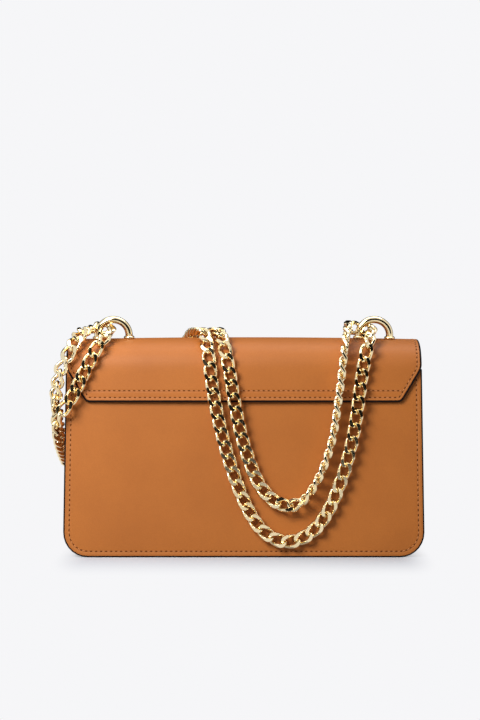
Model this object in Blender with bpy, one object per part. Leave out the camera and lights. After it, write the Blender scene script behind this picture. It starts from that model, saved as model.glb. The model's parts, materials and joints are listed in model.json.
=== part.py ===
"""A structured leather crossbody bag with a flap, two half-ring arches and a flat curb chain.

Metres, +Z up. The back of the bag faces -Y and the flap closes over the front, +Y.
"""

from math import acos, atan, cos, pi, radians, sin, sqrt

import bmesh
import bpy
from mathutils import Matrix, Vector
from mathutils.geometry import interpolate_bezier

# Fits
SEAT_GAP = 0.0003
CUT_OVERRUN = 0.004

# Panels, measured over their outer faces
PANEL_WIDTH = 0.260
PANEL_HEIGHT = 0.135
PANEL_CORNER = 0.018
PANEL_LEATHER = 0.0022
PANEL_SIDE_DRAFT = 0.0016
BASE_DEPTH = 0.070
WALL_DRAFT = 0.0046

# Gusset, a channel whose flanges are sewn to the panels
SEAM_MARGIN = 0.006
GUSSET_LEATHER = 0.0016
GUSSET_FLANGE = 0.005
GUSSET_DROP = 0.002

# Base board, lining and slip pocket
BASE_BOARD = 0.0018
BASE_BOARD_END_GAP = 0.006
LINING_LEATHER = 0.0008
LINING_DROP = 0.003
POCKET_WIDTH = 0.160
POCKET_DEPTH = 0.072
POCKET_DROP = 0.021

# Flap, with both of its ends cut to the same shape
SHOULDER_DROP = 0.001
CREST_RISE = 0.0245
CREST_CROWN = 0.0014
CREST_ROUNDNESS = 2.5
FLAP_LEATHER = 0.0026
FLAP_SIDE_GAP = 0.0004
FLAP_CUT_WIDTH = 0.0145
FLAP_CUT_HEIGHT = 0.0241
FLAP_TIP_RADIUS = 0.005
FLAP_SIDE_RADIUS = 0.012
REAR_STRIP = 0.0227
FRONT_DROP = 0.089

# Stiffener under the top leather
STIFFENER_BOARD = 0.0012
STIFFENER_END_GAP = 0.010
STIFFENER_BACK_EDGE = 0.024
STIFFENER_FRONT_EDGE = 0.002

# Arches, each one bent rod on two collars
ARCH_END_GAP = 0.0326
ARCH_SETBACK = 0.010
ARCH_SPACING = 0.0228
ARCH_ROD = 0.0053
ARCH_LEG = 0.0027
SPIGOT_DIAMETER = 0.0038
SPIGOT_HEAD_DIAMETER = 0.0058
SPIGOT_HEAD = 0.0010
COLLAR_DIAMETER = 0.0078
COLLAR_HEIGHT = 0.0020
COLLAR_EDGE = 0.0006
WASHER_DIAMETER = 0.0090
WASHER_THICKNESS = 0.0008

# Hidden magnetic snap
SNAP_EDGE_GAP = 0.025
SNAP_DIAMETER = 0.017
SNAP_WALL = 0.0005
SNAP_SOCKET_HEIGHT = 0.0015
SNAP_STUD_FLANGE = 0.0013
SNAP_STUD_DIAMETER = 0.015
SNAP_BOSS_DIAMETER = 0.0048
SNAP_BOSS_HEIGHT = 0.0010
SNAP_BORE_DIAMETER = 0.0064
SNAP_STEM_DIAMETER = 0.0030
SNAP_STEM_HEAD_DIAMETER = 0.0044
SNAP_STEM_HEAD = 0.0004
SNAP_PLATE_DIAMETER = 0.014
SNAP_PLATE = 0.0006

# Curb chain: twisted oval links, ground flat on both faces
CHAIN_PITCH = 0.00975
CHAIN_WIDTH = 0.0098
CHAIN_WIRE = 0.0025
CHAIN_THICKNESS = 0.0036
CHAIN_TWIST_RISE = 0.0014
LINK_GRIP = 0.0010
LINK_FREE_STEP = 0.00095
LINK_STEPS = 8
ROUTE_STEPS = 24
PITCH_TRIM_SHARES = (0.97, 1.04)
PITCH_TRIALS = 30
TILT_SHARE = 0.8

# Facets of round pieces
ROUND_SIDES = 12
ROD_SIDES = 8
ARCH_STEPS = 10
CORNER_STEPS = 5
DOME_STEPS = 8
FLAP_COLUMN_SHARES = (-1, -0.55, 0, 0.55, 1)
SHARP_ANGLE = radians(40)

# Sizes that follow from the ones above
PANEL_TOP_WIDTH = PANEL_WIDTH - 2 * PANEL_SIDE_DRAFT
MOUTH_DEPTH = BASE_DEPTH - 2 * WALL_DRAFT
POCKET_TOP = PANEL_HEIGHT - POCKET_DROP
POCKET_BOTTOM = POCKET_TOP - POCKET_DEPTH
SHOULDER_HEIGHT = PANEL_HEIGHT - SHOULDER_DROP
CREST_HEIGHT = SHOULDER_HEIGHT + CREST_RISE
REAR_EDGE_HEIGHT = SHOULDER_HEIGHT - REAR_STRIP
FRONT_EDGE_HEIGHT = SHOULDER_HEIGHT - FRONT_DROP
FLAP_WIDTH = PANEL_TOP_WIDTH - 2 * FLAP_SIDE_GAP
FLAP_TIP_WIDTH = FLAP_WIDTH - 2 * FLAP_CUT_WIDTH
STIFFENER_WIDTH = FLAP_WIDTH - 2 * STIFFENER_END_GAP
ARCH_OFFSET = FLAP_WIDTH / 2 - ARCH_END_GAP
SNAP_HEIGHT = FRONT_EDGE_HEIGHT + SNAP_EDGE_GAP
GUSSET_FLOOR = SEAM_MARGIN + GUSSET_LEATHER
BOARD_FLOOR = GUSSET_FLOOR + SEAT_GAP
LINING_FLOOR = BOARD_FLOOR + BASE_BOARD + SEAT_GAP
LINING_SPACE = SEAT_GAP + SNAP_PLATE + SEAT_GAP + SNAP_STEM_HEAD + SEAT_GAP
SNAP_STACK = SEAT_GAP + SNAP_SOCKET_HEIGHT + SEAT_GAP + SNAP_STUD_FLANGE + SEAT_GAP
REAR_STANDOFF = SEAT_GAP + FLAP_LEATHER
FRONT_STANDOFF = SNAP_STACK + LINING_LEATHER + SEAT_GAP + FLAP_LEATHER
WALL_LEAN = atan((BASE_DEPTH - MOUTH_DEPTH) / 2 / PANEL_HEIGHT)
LINK_LENGTH = CHAIN_PITCH + CHAIN_WIRE - LINK_GRIP

# Which way the chain's flat face looks along its route
BACK = Vector((0, -1, 0))
FRONT = Vector((0, 1, 0))
UP = Vector((0, 0, 1))
LEFT = Vector((-1, 0, 0))
RIGHT = Vector((1, 0, 0))
TILTED = RIGHT - TILT_SHARE * UP


def wall_depth(height):
    """Half of the bag's depth over the panels' outer faces."""
    return (BASE_DEPTH + (MOUTH_DEPTH - BASE_DEPTH) * height / PANEL_HEIGHT) / 2


def side_reach(height):
    """Half of the panels' width, without their rounded corners."""
    return (PANEL_WIDTH + (PANEL_TOP_WIDTH - PANEL_WIDTH) * height / PANEL_HEIGHT) / 2


REAR_REACH = wall_depth(0)
FRONT_REACH = wall_depth(FRONT_EDGE_HEIGHT) + FRONT_STANDOFF
MIDDLE_SHIFT = (REAR_REACH - FRONT_REACH) / 2


# Solids from points

def finish(mesh):
    bmesh.ops.recalc_face_normals(mesh, faces=mesh.faces)
    return mesh


def loft(rings, closed=False):
    """Joins rings of points, and caps the first and the last unless the loft closes on itself."""
    mesh = bmesh.new()
    loops = [[mesh.verts.new(point) for point in ring] for ring in rings]
    pairs = list(zip(loops, loops[1:] + loops[:1])) if closed else list(zip(loops, loops[1:]))
    for low, high in pairs:
        for n in range(len(low)):
            m = (n + 1) % len(low)
            mesh.faces.new((low[n], low[m], high[m], high[n]))
    if not closed:
        mesh.faces.new(reversed(loops[0]))
        mesh.faces.new(loops[-1])
    return finish(mesh)


def circle(radius, height, sides):
    return [
        (radius * cos(2 * pi * n / sides), radius * sin(2 * pi * n / sides), height)
        for n in range(sides)
    ]


def turned(profile, sides=ROUND_SIDES, closed=False):
    """A solid of revolution about Z from (radius, height) points."""
    return loft([circle(radius, height, sides) for radius, height in profile], closed)


def block(outline, near, far):
    """The outline in X and Z, between the depths near(z) and far(z)."""
    return loft([[(x, near(z), z) for x, z in outline], [(x, far(z), z) for x, z in outline]])


# Objects

def material(name, colour, roughness, metallic=0):
    made = bpy.data.materials.new(name)
    made.use_nodes = True
    shader = made.node_tree.nodes["Principled BSDF"]
    shader.inputs["Base Color"].default_value = (*colour, 1)
    shader.inputs["Roughness"].default_value = roughness
    shader.inputs["Metallic"].default_value = metallic
    return made


def piece(name, mesh, look, parent, place=Matrix.Identity(4), smooth=None):
    """One sub-part: its mesh, its material and where it stands on its parent."""
    data = bpy.data.meshes.new(name)
    mesh.to_mesh(data)
    mesh.free()
    data.materials.append(look)
    if smooth is not None:
        data.shade_smooth()
        data.set_sharp_from_angle(angle=smooth)
    made = bpy.data.objects.new(name, data)
    bpy.context.collection.objects.link(made)
    made.parent = parent
    made.matrix_local = place
    return made


def empty(name, parent, location):
    made = bpy.data.objects.new(name, None)
    bpy.context.collection.objects.link(made)
    made.parent = parent
    made.location = location
    return made


def boolean(target, tool, operation):
    """Cuts or joins a hidden tool into the target."""
    tool.hide_render = True
    tool.display_type = "WIRE"
    modifier = target.modifiers.new(tool.name, "BOOLEAN")
    modifier.operation = operation
    modifier.solver = "EXACT"
    modifier.object = tool


# Outlines

def outline(inset, floor, top):
    """The panels' outline, drawn in by an inset, with its own floor and top: (x, z) from top left."""
    radius = PANEL_CORNER - inset
    centre = side_reach(floor + radius) - inset - radius
    right = []
    for n in range(CORNER_STEPS + 1):
        angle = pi / 2 * n / CORNER_STEPS
        right.append((centre + radius * sin(angle), floor + radius - radius * cos(angle)))
    right.append((side_reach(top) - inset, top))
    return [(-x, z) for x, z in reversed(right)] + right


def flap_corner():
    """The cut corner's slant, and the heights over the lower edge at which its curves end and start."""
    slant = atan(2 * FLAP_CUT_HEIGHT / (FLAP_WIDTH - FLAP_TIP_WIDTH))
    tip_top = FLAP_TIP_RADIUS * (1 - cos(slant))
    side_top = FLAP_CUT_HEIGHT + FLAP_SIDE_RADIUS * (1 - sin(slant)) / cos(slant)
    return slant, tip_top, side_top - FLAP_SIDE_RADIUS * cos(slant), side_top


def flap_half_width(rise):
    """Half of the flap's width at a height over its lower edge: cut corners with rounded ends."""
    tip, side = FLAP_TIP_WIDTH / 2, FLAP_WIDTH / 2
    slant, tip_top, side_low, side_top = flap_corner()
    if rise < tip_top:
        tip_x = tip - FLAP_TIP_RADIUS * (1 - cos(slant)) / sin(slant)
        return tip_x + sqrt(FLAP_TIP_RADIUS**2 - (FLAP_TIP_RADIUS - rise) ** 2)
    if rise < side_low:
        return tip + (side - tip) * rise / FLAP_CUT_HEIGHT
    if rise < side_top:
        return side - FLAP_SIDE_RADIUS + sqrt(FLAP_SIDE_RADIUS**2 - (side_top - rise) ** 2)
    return side


def flap_rises():
    """The heights over the flap's lower edge at which its outline turns."""
    _, tip_top, side_low, side_top = flap_corner()
    return [0, tip_top / 4, tip_top, side_low, (side_low + side_top) / 2, side_top]


def dome_point(standoff, height):
    """Depth of the flap's outer face at a height, and the face's direction as (depth, height)."""
    wall = wall_depth(height) + standoff
    if height <= SHOULDER_HEIGHT:
        return wall, (cos(WALL_LEAN), sin(WALL_LEAN))
    span = CREST_HEIGHT - SHOULDER_HEIGHT
    rise = min((height - SHOULDER_HEIGHT) / span, 1)
    share = (1 - rise**CREST_ROUNDNESS) ** (1 / CREST_ROUNDNESS)
    face = Vector((
        share ** (CREST_ROUNDNESS - 1) / wall,
        rise ** (CREST_ROUNDNESS - 1) / span,
    )).normalized()
    return wall * share, (face.x, face.y)


def dome_height(standoff, depth):
    """Height of the flap's outer face at a depth from the crest."""
    share = depth / (wall_depth(CREST_HEIGHT) + standoff)
    span = CREST_HEIGHT - SHOULDER_HEIGHT
    return SHOULDER_HEIGHT + span * (1 - share**CREST_ROUNDNESS) ** (1 / CREST_ROUNDNESS)


def crest_drop(x, height):
    """How far the top leather drops towards the bag's ends."""
    rise = max(0, (height - SHOULDER_HEIGHT) / (CREST_HEIGHT - SHOULDER_HEIGHT))
    return CREST_CROWN * (2 * x / FLAP_WIDTH) ** 2 * min(rise, 1)


def flap_heights(edge_height, standoff, from_depth=None, to_depth=SEAT_GAP):
    """Heights of the flap's rows, from its lower edge or a depth on the dome, up to the crest."""
    wall = wall_depth(CREST_HEIGHT) + standoff
    last = acos((to_depth / wall) ** (CREST_ROUNDNESS / 2))
    first = 0 if from_depth is None else acos((from_depth / wall) ** (CREST_ROUNDNESS / 2))
    span = CREST_HEIGHT - SHOULDER_HEIGHT
    dome = [
        SHOULDER_HEIGHT + span * sin(first + (last - first) * n / DOME_STEPS) ** (2 / CREST_ROUNDNESS)
        for n in range(DOME_STEPS + 1)
    ]
    if from_depth is not None:
        return dome
    return sorted([edge_height + rise for rise in flap_rises()] + dome)


def flap_sheet(side, heights, standoff, below, thickness, half_width):
    """A sheet along the flap, on side -1 at the back or 1 in front, some depth below its outer face."""
    rings = []
    for height in heights:
        depth, face = dome_point(standoff, height)
        faces = []
        for under in (below, below + thickness):
            y, z = depth - face[0] * under, height - face[1] * under
            faces.append([
                (share * half_width(height), side * y, z - crest_drop(share * half_width(height), height))
                for share in FLAP_COLUMN_SHARES
            ])
        rings.append(faces[0] + faces[1][::-1])
    return loft(rings)


# Body

def make_panels(bag, leather):
    shape = outline(0, 0, PANEL_HEIGHT)
    for name, side in (("back_panel", -1), ("front_panel", 1)):
        mesh = block(
            shape,
            lambda z: side * wall_depth(z),
            lambda z: side * (wall_depth(z) - PANEL_LEATHER),
        )
        piece(name, mesh, leather, bag)


def make_gusset(bag, leather):
    """A channel bent round the sides and the bottom, its flanges turned outwards."""
    section = (
        (GUSSET_FLANGE, 0, -1),
        (-GUSSET_LEATHER, 0, -1),
        (-GUSSET_LEATHER, 0, 1),
        (GUSSET_FLANGE, 0, 1),
        (GUSSET_FLANGE, GUSSET_LEATHER, 1),
        (0, GUSSET_LEATHER, 1),
        (0, GUSSET_LEATHER, -1),
        (GUSSET_FLANGE, GUSSET_LEATHER, -1),
    )
    shapes = {
        out: outline(SEAM_MARGIN - out, SEAM_MARGIN - out, PANEL_HEIGHT - GUSSET_DROP)
        for out in (GUSSET_FLANGE, 0, -GUSSET_LEATHER)
    }
    rings = []
    for n in range(len(shapes[0])):
        ring = []
        for out, inset, side in section:
            x, z = shapes[out][n]
            depth = wall_depth(z) - PANEL_LEATHER - SEAT_GAP - inset
            ring.append((x, side * depth, z))
        rings.append(ring)
    piece("gusset", loft(rings), leather, bag)


def make_base_board(bag, board):
    end = PANEL_WIDTH / 2 - PANEL_CORNER - BASE_BOARD_END_GAP
    depth = wall_depth(BOARD_FLOOR + BASE_BOARD) - PANEL_LEATHER - SEAT_GAP
    corners = [(-end, BOARD_FLOOR), (end, BOARD_FLOOR)]
    corners += [(end, BOARD_FLOOR + BASE_BOARD), (-end, BOARD_FLOOR + BASE_BOARD)]
    piece("base_board", block(corners, lambda z: -depth, lambda z: depth), board, bag)


def lining_depth(z):
    return wall_depth(z) - PANEL_LEATHER - LINING_SPACE


def make_lining(bag, cloth):
    """An open pouch inside the gusset and over the base board."""
    inset = GUSSET_FLOOR + SEAT_GAP
    top = PANEL_HEIGHT - LINING_DROP
    outside = block(
        outline(inset, LINING_FLOOR, top),
        lambda z: -lining_depth(z),
        lambda z: lining_depth(z),
    )
    hollow = block(
        outline(inset + LINING_LEATHER, LINING_FLOOR + LINING_LEATHER, top + CUT_OVERRUN),
        lambda z: LINING_LEATHER - lining_depth(z),
        lambda z: lining_depth(z) - LINING_LEATHER,
    )
    lining = piece("lining", outside, cloth, bag)
    boolean(lining, piece("lining_hollow", hollow, cloth, bag), "DIFFERENCE")


def make_slip_pocket(bag, cloth):
    """A flat pocket sewn to the lining's back wall on three sides."""
    half = POCKET_WIDTH / 2
    shape = [(-half, POCKET_BOTTOM), (half, POCKET_BOTTOM), (half, POCKET_TOP), (-half, POCKET_TOP)]
    wall = LINING_LEATHER + SEAT_GAP
    mesh = block(
        shape,
        lambda z: wall - lining_depth(z),
        lambda z: wall + LINING_LEATHER - lining_depth(z),
    )
    piece("slip_pocket", mesh, cloth, bag)


# Flap

def rear_width(height):
    return flap_half_width(height - REAR_EDGE_HEIGHT)


def front_width(height):
    return flap_half_width(height - FRONT_EDGE_HEIGHT)


def stiffener_width(height):
    return STIFFENER_WIDTH / 2


def make_flap_rear(bag, leather, feet):
    """The leather sewn to the back, up and over to the crest, pierced for the arches' spigots."""
    heights = flap_heights(REAR_EDGE_HEIGHT, REAR_STANDOFF)
    mesh = flap_sheet(-1, heights, REAR_STANDOFF, 0, FLAP_LEATHER, rear_width)
    strip = piece("flap_rear", mesh, leather, bag)
    pierce(strip, feet, bag, leather)


def make_stiffener(bag, board, feet):
    heights = flap_heights(0, REAR_STANDOFF, STIFFENER_BACK_EDGE, STIFFENER_FRONT_EDGE)
    below = FLAP_LEATHER + SEAT_GAP
    mesh = flap_sheet(-1, heights, REAR_STANDOFF, below, STIFFENER_BOARD, stiffener_width)
    stiffener = piece("top_stiffener", mesh, board, bag)
    pierce(stiffener, feet, bag, board)


def pierce(sheet, feet, bag, look):
    """One hole for each of the arches' spigots."""
    radius = SPIGOT_DIAMETER / 2 + SEAT_GAP
    for n, foot in enumerate(feet):
        cutter = turned([(radius, -2 * CUT_OVERRUN), (radius, CUT_OVERRUN)], ROD_SIDES)
        tool = piece(f"{sheet.name}_hole_{n}", cutter, look, bag, foot)
        boolean(sheet, tool, "DIFFERENCE")


def make_flap_front(hinge, leather, cloth):
    """The part that turns up, with its lining. Their points are taken from the hinge's axis."""
    heights = flap_heights(FRONT_EDGE_HEIGHT, FRONT_STANDOFF)
    from_axis = Matrix.Translation((0, 0, -CREST_HEIGHT))
    below = FLAP_LEATHER + SEAT_GAP
    for name, look, depth, thickness in (
        ("flap_front", leather, 0, FLAP_LEATHER),
        ("flap_lining", cloth, below, LINING_LEATHER),
    ):
        mesh = flap_sheet(1, heights, FRONT_STANDOFF, depth, thickness, front_width)
        mesh.transform(from_axis)
        piece(name, mesh, look, hinge)


# Arches

def arch_place(side):
    """Where an arch stands: on the leather's slope, behind the crest."""
    height = dome_height(REAR_STANDOFF, ARCH_SETBACK)
    face = dome_point(REAR_STANDOFF, height)[1]
    x = side * ARCH_OFFSET
    spot = Vector((x, -ARCH_SETBACK, height - crest_drop(x, height)))
    slope = atan(2 * CREST_CROWN * x * (2 / FLAP_WIDTH) ** 2)
    lean = Matrix.Rotation(atan(face[0] / face[1]), 4, "X")
    return Matrix.Translation(spot) @ Matrix.Rotation(slope, 4, "Y") @ lean


def arch_feet(place):
    return [place @ Matrix.Translation((side * ARCH_SPACING / 2, 0, 0)) for side in (-1, 1)]


def arch_mesh():
    """One rod: peened head, spigot, leg, half ring, and the same again on the way down."""
    rod, spigot, head = ARCH_ROD / 2, SPIGOT_DIAMETER / 2, SPIGOT_HEAD_DIAMETER / 2
    reach = ARCH_SPACING / 2
    head_top = -(FLAP_LEATHER + SEAT_GAP + STIFFENER_BOARD + SEAT_GAP + WASHER_THICKNESS + SEAT_GAP)
    leg = [
        (head_top - SPIGOT_HEAD, head),
        (head_top, head),
        (head_top, spigot),
        (SEAT_GAP, spigot),
        (SEAT_GAP, rod),
    ]
    rings = [(Vector((-reach, 0, z)), 0, radius) for z, radius in leg]
    for n in range(ARCH_STEPS + 1):
        angle = pi * n / ARCH_STEPS
        spot = Vector((-reach * cos(angle), 0, ARCH_LEG + reach * sin(angle)))
        rings.append((spot, angle, rod))
    rings += [(Vector((reach, 0, z)), pi, radius) for z, radius in reversed(leg)]
    return loft([
        [
            spot + radius * (Vector((-cos(turn), 0, sin(turn))) * cos(around) + Vector((0, sin(around), 0)))
            for around in (2 * pi * n / ROD_SIDES for n in range(ROD_SIDES))
        ]
        for spot, turn, radius in rings
    ])


def collar_mesh():
    bore = ARCH_ROD / 2 + SEAT_GAP
    rim = COLLAR_DIAMETER / 2
    profile = [
        (bore, SEAT_GAP),
        (rim, SEAT_GAP),
        (rim, COLLAR_HEIGHT - COLLAR_EDGE),
        (rim - COLLAR_EDGE, COLLAR_HEIGHT),
        (bore, COLLAR_HEIGHT),
    ]
    return turned(profile, ROUND_SIDES, closed=True)


def washer_mesh():
    top = -(FLAP_LEATHER + SEAT_GAP + STIFFENER_BOARD + SEAT_GAP)
    bore, rim = SPIGOT_DIAMETER / 2 + SEAT_GAP, WASHER_DIAMETER / 2
    low = top - WASHER_THICKNESS
    return turned([(bore, low), (rim, low), (rim, top), (bore, top)], ROD_SIDES, closed=True)


def make_arches(bag, gold, steel, places):
    for name, place in places.items():
        piece(f"arch_{name}", arch_mesh(), gold, bag, place, SHARP_ANGLE)
        for foot_name, foot in zip(("left", "right"), arch_feet(place)):
            piece(f"collar_{name}_{foot_name}", collar_mesh(), gold, bag, foot, SHARP_ANGLE)
            piece(f"washer_{name}_{foot_name}", washer_mesh(), steel, bag, foot, SHARP_ANGLE)


# Snap

def make_snap(bag, hinge, gold, steel):
    """Socket, magnet and back plate on the front panel; stud on the flap's lining."""
    spot = Vector((0, wall_depth(SNAP_HEIGHT), SNAP_HEIGHT))
    facing = Matrix.Translation(spot) @ Matrix.Rotation(-pi / 2 + WALL_LEAN, 4, "X")
    rim, bore = SNAP_DIAMETER / 2, SNAP_BORE_DIAMETER / 2
    stem, head = SNAP_STEM_DIAMETER / 2, SNAP_STEM_HEAD_DIAMETER / 2
    base, top = SEAT_GAP, SEAT_GAP + SNAP_SOCKET_HEIGHT
    plate_top = -(PANEL_LEATHER + SEAT_GAP)
    head_top = plate_top - SNAP_PLATE - SEAT_GAP
    socket = turned([
        (head, head_top - SNAP_STEM_HEAD),
        (head, head_top),
        (stem, head_top),
        (stem, base),
        (rim, base),
        (rim, top),
        (rim - SNAP_WALL, top),
        (rim - SNAP_WALL, base + SNAP_WALL),
    ])
    piece("snap_socket", socket, gold, bag, facing, SHARP_ANGLE)
    magnet_low = base + SNAP_WALL + SEAT_GAP
    outer = rim - SNAP_WALL - SEAT_GAP
    magnet = turned([(bore, magnet_low), (outer, magnet_low), (outer, top), (bore, top)], closed=True)
    piece("snap_magnet", magnet, steel, bag, facing, SHARP_ANGLE)
    hole, edge = stem + SEAT_GAP, SNAP_PLATE_DIAMETER / 2
    plate_low = plate_top - SNAP_PLATE
    plate = [(hole, plate_low), (edge, plate_low), (edge, plate_top), (hole, plate_top)]
    piece("snap_back_plate", turned(plate, closed=True), steel, bag, facing, SHARP_ANGLE)
    panel = bpy.data.objects["front_panel"]
    cutter = turned([(hole, -PANEL_LEATHER - CUT_OVERRUN), (hole, CUT_OVERRUN)])
    boolean(panel, piece("front_panel_hole", cutter, steel, bag, facing), "DIFFERENCE")
    stud_low = top + SEAT_GAP
    boss, flange = SNAP_BOSS_DIAMETER / 2, SNAP_STUD_DIAMETER / 2
    stud = turned([
        (boss, stud_low - SNAP_BOSS_HEIGHT),
        (boss, stud_low),
        (flange, stud_low),
        (flange, stud_low + SNAP_STUD_FLANGE),
    ])
    from_axis = Matrix.Translation((0, 0, -CREST_HEIGHT))
    piece("snap_stud", stud, gold, hinge, from_axis @ facing, SHARP_ANGLE)


# Chain

# The route of the chain's middle line in metres, and where its flat face looks. It is one closed
# loop, and each stretch of links starts at its own first point.
ROUTE = (
    ("chain_outer_right", (
        ((0.0849, -0.0361, 0.1335), BACK),
        ((0.0823, -0.0363, 0.1145), BACK),
        ((0.0796, -0.0364, 0.0950), BACK),
        ((0.0751, -0.0364, 0.0733), BACK),
        ((0.0687, -0.0364, 0.0525), BACK),
    )),
    ("chain_outer_bottom", (
        ((0.0604, -0.0364, 0.0334), BACK),
        ((0.0488, -0.0367, 0.0183), BACK),
        ((0.0305, -0.0370, 0.0111), BACK),
        ((0.0134, -0.0367, 0.0194), BACK),
    )),
    ("chain_outer_left", (
        ((0.0026, -0.0364, 0.0356), BACK),
        ((-0.0056, -0.0364, 0.0550), BACK),
        ((-0.0130, -0.0364, 0.0780), BACK),
        ((-0.0183, -0.0364, 0.0995), BACK),
    )),
    ("chain_outer_over", (
        ((-0.0222, -0.0361, 0.1200), BACK),
        ((-0.0248, -0.0360, 0.1400), BACK),
        ((-0.0262, -0.0326, 0.1495), BACK),
        ((-0.0276, -0.0250, 0.1565), BACK + UP),
        ((-0.0300, -0.0185, 0.1609), UP),
        ((-0.0350, 0.0040, 0.1621), UP),
        ((-0.0374, 0.0140, 0.1613), UP),
        ((-0.0402, 0.0236, 0.1584), FRONT + UP),
        ((-0.0440, 0.0347, 0.1518), FRONT + UP),
    )),
    ("chain_front_upper", (
        ((-0.0484, 0.0399, 0.1425), FRONT),
        ((-0.0605, 0.0406, 0.1210), FRONT),
    )),
    ("chain_end_outer", (
        ((-0.0764, 0.0413, 0.1018), FRONT),
        ((-0.0970, 0.0418, 0.0857), FRONT),
        ((-0.1195, 0.0424, 0.0783), FRONT),
        ((-0.1272, 0.0442, 0.0770), FRONT),
        ((-0.1323, 0.0420, 0.0766), LEFT + FRONT),
        ((-0.1348, 0.0360, 0.0775), LEFT),
        ((-0.1354, 0.0198, 0.0849), LEFT),
        ((-0.1356, 0.0040, 0.0936), LEFT),
        ((-0.1357, -0.0120, 0.1012), LEFT),
        ((-0.1353, -0.0270, 0.1092), LEFT),
    )),
    ("chain_arch_left", (
        ((-0.1338, -0.0360, 0.1170), LEFT + BACK),
        ((-0.1325, -0.0385, 0.1265), LEFT + BACK),
        ((-0.1300, -0.0388, 0.1360), LEFT + BACK),
        ((-0.1264, -0.0374, 0.1444), BACK),
        ((-0.1228, -0.0325, 0.1520), BACK),
        ((-0.1188, -0.0235, 0.1590), BACK + UP),
        ((-0.1148, -0.0130, 0.1632), UP),
        ((-0.1098, -0.0048, 0.1650), UP + FRONT),
        ((-0.1026, -0.0040, 0.1648), FRONT + TILTED),
        ((-0.0981, -0.0116, 0.1630), TILTED),
        ((-0.0990, -0.0206, 0.1620), TILTED),
        ((-0.1020, -0.0292, 0.1578), RIGHT + BACK),
        ((-0.1054, -0.0352, 0.1506), BACK),
    )),
    ("chain_end_inner", (
        ((-0.1138, -0.0362, 0.1340), BACK),
        ((-0.1223, -0.0362, 0.1160), BACK),
        ((-0.1270, -0.0380, 0.1083), BACK),
        ((-0.1320, -0.0364, 0.1016), LEFT + BACK),
        ((-0.1345, -0.0310, 0.0950), LEFT),
        ((-0.1350, -0.0138, 0.0840), LEFT),
    )),
    ("chain_front_corner", (
        ((-0.1350, 0.0048, 0.0764), LEFT),
        ((-0.1349, 0.0236, 0.0696), LEFT),
        ((-0.1346, 0.0328, 0.0662), LEFT),
        ((-0.1324, 0.0408, 0.0632), LEFT + FRONT),
        ((-0.1254, 0.0446, 0.0606), FRONT),
        ((-0.1164, 0.0431, 0.0574), FRONT),
    )),
    ("chain_front_lower", (
        ((-0.0968, 0.0429, 0.0540), FRONT),
        ((-0.0782, 0.0427, 0.0608), FRONT),
        ((-0.0630, 0.0422, 0.0742), FRONT),
        ((-0.0504, 0.0416, 0.0914), FRONT),
        ((-0.0402, 0.0410, 0.1106), FRONT),
    )),
    ("chain_inner_over", (
        ((-0.0325, 0.0407, 0.1312), FRONT),
        ((-0.0298, 0.0401, 0.1418), FRONT),
        ((-0.0268, 0.0349, 0.1516), FRONT + UP),
        ((-0.0244, 0.0241, 0.1582), FRONT + UP),
        ((-0.0227, 0.0145, 0.1613), UP),
        ((-0.0202, -0.0070, 0.1620), UP),
        ((-0.0184, -0.0178, 0.1610), UP),
        ((-0.0160, -0.0248, 0.1566), BACK + UP),
        ((-0.0136, -0.0327, 0.1494), BACK),
    )),
    ("chain_inner_left", (
        ((-0.0097, -0.0362, 0.1300), BACK),
        ((-0.0063, -0.0365, 0.1090), BACK),
        ((-0.0018, -0.0364, 0.0880), BACK),
        ((0.0046, -0.0364, 0.0674), BACK),
    )),
    ("chain_inner_bottom", (
        ((0.0132, -0.0364, 0.0492), BACK),
        ((0.0270, -0.0366, 0.0372), BACK),
        ((0.0356, -0.0376, 0.0366), BACK + UP),
        ((0.0430, -0.0392, 0.0403), LEFT),
        ((0.0528, -0.0402, 0.0540), LEFT),
    )),
    ("chain_inner_right", (
        ((0.0598, -0.0402, 0.0704), LEFT),
        ((0.0648, -0.0402, 0.0882), LEFT),
        ((0.0675, -0.0402, 0.1070), LEFT),
        ((0.0701, -0.0402, 0.1258), LEFT),
    )),
    ("chain_arch_right", (
        ((0.0722, -0.0394, 0.1446), LEFT),
        ((0.0734, -0.0364, 0.1534), LEFT),
        ((0.0748, -0.0302, 0.1606), LEFT),
        ((0.0762, -0.0216, 0.1644), LEFT),
        ((0.0772, -0.0128, 0.1656), LEFT),
        ((0.0798, -0.0044, 0.1656), FRONT + LEFT),
        ((0.0864, -0.0022, 0.1650), FRONT),
        ((0.0922, -0.0122, 0.1634), TILTED),
        ((0.0918, -0.0200, 0.1620), TILTED),
        ((0.0900, -0.0282, 0.1590), RIGHT + BACK),
        ((0.0884, -0.0354, 0.1515), BACK),
    )),
)


def route_samples():
    """Spots, face directions and stretch numbers close together along the closed route."""
    points = [(Vector(spot), face, n) for n, (_, run) in enumerate(ROUTE) for spot, face in run]
    count = len(points)
    samples = []
    for n, (start, face, stretch) in enumerate(points):
        before, end, after = (points[(n + m) % count][0] for m in (-1, 1, 2))
        reach = (end - start).length / 3
        lead = start + (end - before).normalized() * reach
        trail = end - (after - start).normalized() * reach
        run = interpolate_bezier(start, lead, trail, end, ROUTE_STEPS + 1)
        for m, spot in enumerate(run[:-1]):
            samples.append((spot, face.lerp(points[(n + 1) % count][1], m / ROUTE_STEPS), stretch))
    return samples


def sample_at(samples, place):
    """Spot and face direction at a place between two samples."""
    low = int(place)
    spot, face, _ = samples[low % len(samples)]
    next_spot, next_face, _ = samples[(low + 1) % len(samples)]
    return spot.lerp(next_spot, place - low), face.lerp(next_face, place - low)


def walk(samples, place, distance):
    """The place ahead on the route, or behind for a negative one, at a straight distance."""
    step = 1 if distance > 0 else -1
    start = sample_at(samples, place)[0]
    near = 0
    while True:
        far = (sample_at(samples, place + step)[0] - start).length
        if far >= abs(distance):
            return place + step * (abs(distance) - near) / (far - near)
        place, near = place + step, far


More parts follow.
